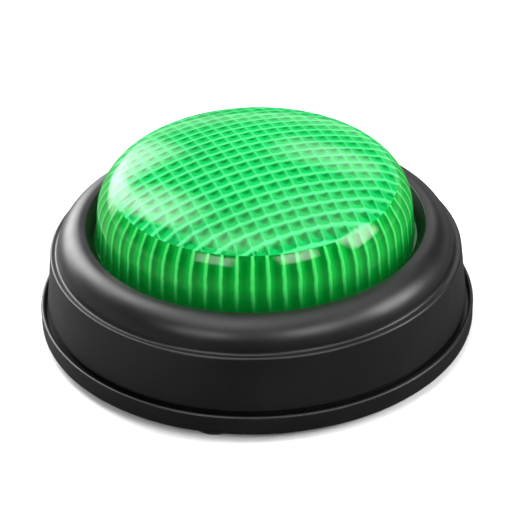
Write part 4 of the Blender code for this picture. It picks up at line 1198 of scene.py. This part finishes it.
def screw_mesh(name, head, length, material):
    """One screw with a tapered cross recess in its head."""
    body = turned(name, screw_outline(head, length), material, 48)
    bars = [recess_bar(head, RECESS_LENGTH, RECESS_WIDTH), recess_bar(head, RECESS_WIDTH, RECESS_LENGTH)]
    made = shaped(body, removed=bars)
    mesh = made.data
    bpy.data.objects.remove(made)
    return mesh


def place_screw(node, mesh, at, seat, head_down, turn):
    obj = linked(node, mesh)
    obj.location = (*at, seat - GAP if head_down else seat + GAP)
    obj.rotation_euler = (math.pi if head_down else 0, 0, math.radians(turn))
    stands_for(obj, node)


def build_screws(material):
    meshes = {kind: screw_mesh(kind, *size, material) for kind, size in SCREW_SIZES.items()}
    retainer_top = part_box("speaker_retainer")[1].z

    def place(kind, number, at, seat, head_down, turn):
        place_screw(f"{kind}_{number}", meshes[kind], at, seat, head_down, turn)

    for number, (x, y, _) in enumerate(around(PILLAR_ORBIT, PILLAR_ANGLE), 1):
        place("housing_screw", number, (x, y), SCREW_SEAT, True, 37 * number)
    for number, side in enumerate((-1, 1), 1):
        place("board_screw", number, (side * STAND_X, STAND_Y), BOARD_HIGH.z, False, 25 * number)
        ear = (side * RETAINER_EAR_X, SPEAKER_Y)
        place("retainer_screw", number, ear, retainer_top, False, 51 * number)
    door = "battery_door_screw"
    place_screw(door, meshes[door], (0, EAR_Y), EAR_WELL, True, 20)


def coil(start, axis, radii, wire_radius, length, turns):
    """Points of a coil along axis whose first and last turns lie flat."""
    side = Vector((0, 0, 1)) if abs(axis.z) < 0.5 else Vector((1, 0, 0))
    other = axis.cross(side)
    total = turns * COIL_STEPS
    flat = CLOSED_TURNS * COIL_STEPS
    pitch = CLOSED_PITCH * wire_radius / COIL_STEPS
    rise = length - 2 * flat * pitch
    points = []
    for step in range(total + 1):
        middle = min(max((step - flat) / (total - 2 * flat), 0), 1)
        ends = min(step, flat) + max(0, step - (total - flat))
        along = rise * middle + pitch * ends
        radius = radii[0] + (radii[1] - radii[0]) * step / total
        angle = math.tau * step / COIL_STEPS
        points.append(start + axis * along + (side * math.cos(angle) + other * math.sin(angle)) * radius)
    return points


def build_return_spring(material):
    """It stands on the board and is squeezed by the lens; it goes with the shell instead of moving with
    the lens.
    """
    start = Vector((0, 0, SPRING_LOW.z + RETURN_WIRE))
    height = SPRING_HIGH.z - SPRING_LOW.z
    length = height - 2 * RETURN_WIRE
    up = Vector((0, 0, 1))
    points = coil(start, up, (RETURN_COIL, RETURN_COIL), RETURN_WIRE, length, RETURN_TURNS)
    spring = stands_for(wire("spring", points, RETURN_WIRE, material), "return_spring", "shell")
    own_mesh(spring)


def build_cell_springs(material):
    """Each narrows from the bay's wall to its cell."""
    for number, side in ((1, 1), (2, -1)):
        node = f"battery_spring_{number}"
        low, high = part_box(node)
        outer = low.x + CELL_WIRE if side > 0 else high.x - CELL_WIRE
        middle = (low + high) / 2
        start = Vector((outer, middle.y, middle.z))
        length = high.x - low.x - 2 * CELL_WIRE
        points = coil(start, Vector((side, 0, 0)), CELL_COIL, CELL_WIRE, length, CELL_TURNS)
        stands_for(wire("spring", points, CELL_WIRE, material), node)


# --- inside -------------------------------------------------------------------------------------


def build_cells(material):
    """AAA cells: a sleeve with rolled ends, a nub at one end and a flat at the other."""
    nub, nub_radius, edge = 0.8 * MM, 1.9 * MM, 0.5 * MM
    roll, dip, hollow = 1.4 * MM, 0.15 * MM, 0.2 * MM
    for number, side in ((1, 1), (2, -1)):
        low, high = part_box(f"battery_{number}")
        radius = (high.z - low.z) / 2
        half = (high.x - low.x) / 2
        outline = [
            (0, half),
            *round_top(nub_radius, half, 0.3 * MM, 4),
            (nub_radius, half - nub),
            (radius - roll, half - nub - dip),
            *round_top(radius, half - nub, edge),
            *round_foot(radius, -half, edge),
            (radius - roll, hollow - half),
            (0, hollow - half),
        ]
        turn = (0, side * math.pi / 2, 0)
        turned_part(f"battery_{number}", outline, material, 72, (low + high) / 2, turn)


def build_leds(epoxy):
    """A round-nosed body on a flange."""
    flange = LED_RADIUS + LED_FLANGE
    for number in range(1, 5):
        low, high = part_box(f"led_{number}")
        height = high.z - low.z
        nose = [(x, y + height - LED_RADIUS) for x, y in cap(LED_RADIUS, LED_RADIUS, 10)]
        foot = [(LED_RADIUS, LED_FLANGE_HEIGHT), (flange, LED_FLANGE_HEIGHT), (flange, 0), (0, 0)]
        middle = (low + high) / 2
        turned_part(f"led_{number}", nose + foot, epoxy, SMALL_STEPS, (middle.x, middle.y, low.z))


def basket_outline():
    inner = MAGNET_RADIUS + GAP
    shelf = SPEAKER_TOP - SPEAKER_SHELF
    return [
        *round_top(SPEAKER_RADIUS, SPEAKER_TOP, SPEAKER_EDGE, 4),
        (SPEAKER_RADIUS, SPEAKER_BOTTOM),
        (SPEAKER_RADIUS - SPEAKER_RIM, SPEAKER_BOTTOM),
        (SPEAKER_RADIUS - SPEAKER_RIM, shelf),
        (inner, shelf),
        (inner, SPEAKER_TOP),
    ]


def magnet_outline():
    low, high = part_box("speaker_magnet")
    edge = round_top(MAGNET_RADIUS, high.z, SPEAKER_EDGE, 4)
    return [(0, high.z), *edge, (MAGNET_RADIUS, low.z), (0, low.z)]


def cone_outline():
    """A low dome, then a slope with ripples that grow to full height."""
    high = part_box("speaker_cone")[1]
    top = []
    for step in range(CONE_STEPS + 1):
        radius = high.x * step / CONE_STEPS
        share = min(radius / (CONE_DOME * high.x), 1)
        slope = max(0, radius / high.x - CONE_DOME) / (1 - CONE_DOME)
        ripple = CONE_RIPPLE * math.sin(radius / MM * CONE_RIPPLE_TURN) * min(1, slope * 3)
        top.append((radius, high.z - CONE_DOME_RISE * share**2 - CONE_FALL * slope + ripple))
    return top + [(radius, height - CONE_THICK) for radius, height in reversed(top)]


def build_speaker(steel, iron, film):
    """A stamped basket, a magnet, and a film cone with a ribbed edge and a dome."""
    at = (0, SPEAKER_Y, 0)
    turned_part("speaker_basket", basket_outline(), steel, LARGE_STEPS, at)
    turned_part("speaker_magnet", magnet_outline(), iron, 72, at)
    turned_part("speaker_cone", cone_outline(), film, LARGE_STEPS, at)


def build_resistors(material):
    """Bodies that bulge at both ends."""
    edge, waist = 0.5 * MM, 0.12 * MM
    for number in (1, 2):
        low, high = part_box(f"resistor_{number}")
        radius, half = (high.x - low.x) / 2, (high.y - low.y) / 2
        end = round_top(radius, half, edge)
        upper = [(0, half), *end, (radius, half - 3 * edge), (radius - waist, half - 4 * edge)]
        outline = upper + [(across, -height) for across, height in reversed(upper)]
        turn = (math.pi / 2, 0, 0)
        turned_part(f"resistor_{number}", outline, material, 32, (low + high) / 2, turn)


def build_capacitor(material):
    """An upright can with a groove rolled in near one end."""
    low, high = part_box("capacitor")
    radius, half = min(high - low) / 2, max(high - low) / 2
    edge, groove = 0.4 * MM, 0.22 * MM
    outline = [
        (0, half),
        *round_top(radius, half, edge),
        *arc((radius, half - 1.4 * MM), (groove, 2 * groove), 90, 270, 6),
        *round_foot(radius, -half, edge),
        (0, -half),
    ]
    turned_part("capacitor", outline, material, 48, (low + high) / 2)


def build_chip(material):
    """The blob of epoxy poured over the chip."""
    low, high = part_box("sound_chip")
    middle = (low + high) / 2
    outline = [*cap((high.x - low.x) / 2, high.z - low.z, 14), (0, 0)]
    turned_part("sound_chip", outline, material, 64, (middle.x, middle.y, low.z), sharp=60)


def build_lead(node, material):
    """A lead follows the part's own path, rounded to a smooth tube."""
    lead = refined(node, material, sharp=60)
    tube = lead.modifiers.new("Round", "SUBSURF")
    tube.levels = 2
    tube.render_levels = 2


def build_metal_parts():
    steel = brushed_metal("spring_steel", (0.62, 0.61, 0.60), 0.22)
    nickel = brushed_metal("contact_nickel", (0.74, 0.72, 0.67), 0.25)
    build_screws(brushed_metal("zinc_screw", (0.66, 0.67, 0.68), 0.3))
    build_return_spring(steel)
    build_cell_springs(steel)
    iron = brushed_metal("magnet_iron", (0.24, 0.24, 0.25), 0.38)
    basket = brushed_metal("speaker_steel", (0.48, 0.48, 0.49), 0.32)
    film = solid("cone_film", (0.60, 0.53, 0.38), (0.72, 0.66, 0.52), 0.4)
    build_speaker(basket, iron, film)
    for name in ("positive", "negative", "bridge"):
        refined(f"contact_{name}", nickel, 0.08 * MM)


def build_plastic_parts():
    white = solid("white_plastic", (0.80, 0.80, 0.77), (0.86, 0.86, 0.84), 0.4)
    card = solid("reflector_card", (0.88, 0.88, 0.87), (0.93, 0.93, 0.92), 0.3, blotch=6 * MM)
    black = solid("black_part", (0.012, 0.012, 0.013), (0.02, 0.02, 0.02), 0.45)
    red = solid("red_plastic", (0.48, 0.02, 0.015), (0.58, 0.03, 0.02), 0.4)
    refined("button_carrier", white, 0.15 * MM)
    refined("reflector_disc", card)
    refined("switch_body", black, 0.2 * MM)
    refined("switch_plunger", red, 0.15 * MM)
    refined("speaker_retainer", black, 0.12 * MM)


def build_electrics():
    build_cells(cell_jacket())
    build_leds(clear_epoxy())
    refined("circuit_board", board_green(), 0.1 * MM)
    build_resistors(banded_tan())
    build_capacitor(solid("capacitor_blue", (0.02, 0.05, 0.2), (0.03, 0.08, 0.3), 0.3, coat=0.3))
    build_chip(solid("epoxy_black", (0.008, 0.008, 0.009), (0.02, 0.019, 0.018), 0.25, coat=0.4))
    red = solid("red_lead", (0.50, 0.015, 0.012), (0.62, 0.03, 0.02), 0.38)
    black = solid("black_lead", (0.012, 0.012, 0.012), (0.024, 0.024, 0.024), 0.42)
    build_lead("battery_wire_red", red)
    build_lead("battery_wire_black", black)
    build_lead("speaker_wire_1", red)
    build_lead("speaker_wire_2", black)


# --- studio -------------------------------------------------------------------------------------

# Name, azimuth and elevation in degrees, distance, size, brightness, and how flat the light is.
# Azimuth 0 is the camera's side and positive is to the right.
LAMPS = (
    ("key_back_left", -134, 42, 0.75, (0.45, 0.65), 9.5, 1.0),
    ("low_back_left", -143, 15, 0.75, (0.66, 0.44), 9.0, 1.0),
    ("overhead", -60, 78, 0.8, (0.8, 0.7), 3.4, 1.0),
    ("top_right", 122, 66, 0.8, (0.9, 0.8), 1.7, 1.0),
    ("back_right", 163, 29, 0.8, (0.36, 0.26), 2.6, 1.0),
    ("front_right", 84, 27, 0.9, (0.46, 0.52), 12.0, 1.5),
    ("front_left", -32, 36, 0.9, (0.46, 0.32), 6.5, 1.5),
    ("front", 33, 38, 0.9, (0.46, 0.34), 9.5, 1.5),
    ("under_left", -130, -48, 0.7, (0.6, 0.45), 9.0, 1.0),
    ("under_right", 60, -62, 0.7, (0.5, 0.4), 7.0, 1.0),
)
LAMP_TARGET = Vector((0, 0, 20 * MM))
FLOOR_HALF = 1.2


def soft_light(name, azimuth, elevation, distance, size, brightness, flat):
    """A rectangular soft light that faces the object and fades to its edges, less so when flat is high.

    Brightness is at its centre.
    """
    lamp = bpy.data.lights.new(name, "AREA")
    lamp.shape = "RECTANGLE"
    lamp.size, lamp.size_y = size
    lamp.energy = brightness * math.pi * size[0] * size[1]
    lamp.use_nodes = True
    look = Look(name, lamp.node_tree)
    emission = lamp.node_tree.nodes["Emission"]
    parts = look.parts(look.add("NewGeometry").outputs["Parametric"])
    fade = 1.0
    for part in parts[:2]:
        inner = look.times(part, look.maths("SUBTRACT", 1.0, part))
        fade = look.times(fade, look.maths("MULTIPLY", inner, 4.0 * flat, clamp=True))
    look.tree.links.new(fade, emission.inputs["Strength"])
    obj = linked(name, lamp)
    a, e = math.radians(azimuth), math.radians(elevation)
    back = Vector((math.sin(a) * math.cos(e), -math.cos(a) * math.cos(e), math.sin(e)))
    obj.location = LAMP_TARGET + back * distance
    obj.rotation_mode = "QUATERNION"
    obj.rotation_quaternion = back.to_track_quat("Z", "Y")


def build_world():
    """White light that mirrors see as a dark room whose horizon is pale, most so at the back and left."""
    world = bpy.data.worlds.new("studio")
    world.use_nodes = True
    look = Look("studio", world.node_tree)
    background = world.node_tree.nodes["Background"]
    background.inputs["Color"].default_value = (0.96, 0.97, 1.0, 1)
    glossy = look.ray("Glossy")
    parts = look.parts(look.add("TexCoord").outputs["Generated"])
    seen = look.span(look.maths("ABSOLUTE", parts[2]), 0.0, 0.2, 0.5, 0.04)
    seen = look.times(seen, look.span(parts[1], -0.9, 0.9, 0.2, 2.0))
    seen = look.times(seen, look.span(parts[0], -0.9, 0.0, 1.6, 1.0))
    even = look.span(look.ray("Camera"), 0, 1, 0.42, 1.05)
    strength = look.mix(glossy, even, seen)
    look.tree.links.new(strength, background.inputs["Strength"])
    bpy.context.scene.world = world


def floor_paper():
    """White paper that mirrors see as dark in the middle and grey to the sides, clear from below."""
    look = Look("floor_paper")
    grain = look.noise(1.2 * MM, 3)
    patch = look.noise(120 * MM, 2)
    colour = look.tint(look.span(patch, 0.3, 0.7, 0, 1), (0.88, 0.885, 0.89), (0.92, 0.92, 0.92))
    glossy = look.ray("Glossy")
    side = look.parts(look.place())[0]
    left = look.span(side, -20 * MM, -60 * MM, 0.015, 0.15)
    right = look.span(side, 20 * MM, 60 * MM, 0.0, 0.05)
    colour = look.tint(glossy, colour, look.maths("ADD", left, right))
    normal = look.bump(grain, 0.05, 0.05 * MM)
    sheet = look.shader("Principled", base_color=colour, roughness=0.8, normal=normal)
    spaces = {"convert_from": "CAMERA", "convert_to": "WORLD"}
    eye = look.add("VectorTransform", {0: (0, 0, 0)}, vector_type="POINT", **spaces)
    below = look.maths("LESS_THAN", look.parts(eye.outputs[0])[2], 0.0)
    return look.finish(look.blend(below, sheet, look.shader("Transparent")))


def build_studio():
    bpy.context.scene.view_settings.view_transform = "Standard"
    build_world()
    for lamp in LAMPS:
        soft_light(*lamp)
    half = FLOOR_HALF
    corners = [(-half, -half, 0), (half, -half, 0), (half, half, 0), (-half, half, 0)]
    add_mesh("floor", corners, [[0, 1, 2, 3]], [floor_paper()])


def build_camera():
    """At the photographed viewing angle: above the front edge, with the object filling the frame."""
    data = bpy.data.cameras.new("camera")
    data.lens = 155
    data.clip_start = 0.01
    camera = linked("camera", data)
    elevation = math.radians(31.9)
    distance = 0.456
    target = Vector((0, 0, 14.5 * MM))
    back = Vector((0, -math.cos(elevation), math.sin(elevation)))
    camera.location = target + back * distance
    camera.rotation_mode = "QUATERNION"
    roll = Matrix.Rotation(math.radians(-1.4), 3, back).to_quaternion()
    camera.rotation_quaternion = roll @ back.to_track_quat("Z", "Y")
    bpy.context.scene.camera = camera


def main():
    shell = black_plastic("black_shell")
    build_lens([lens_skin(), lens_grid(), lens_flutes()])
    build_housing(shell)
    build_base(shell)
    build_door(black_plastic("door_black", 0.38, 0.14))
    build_feet(rubber())
    build_metal_parts()
    build_plastic_parts()
    build_electrics()
    build_studio()
    build_camera()


main()
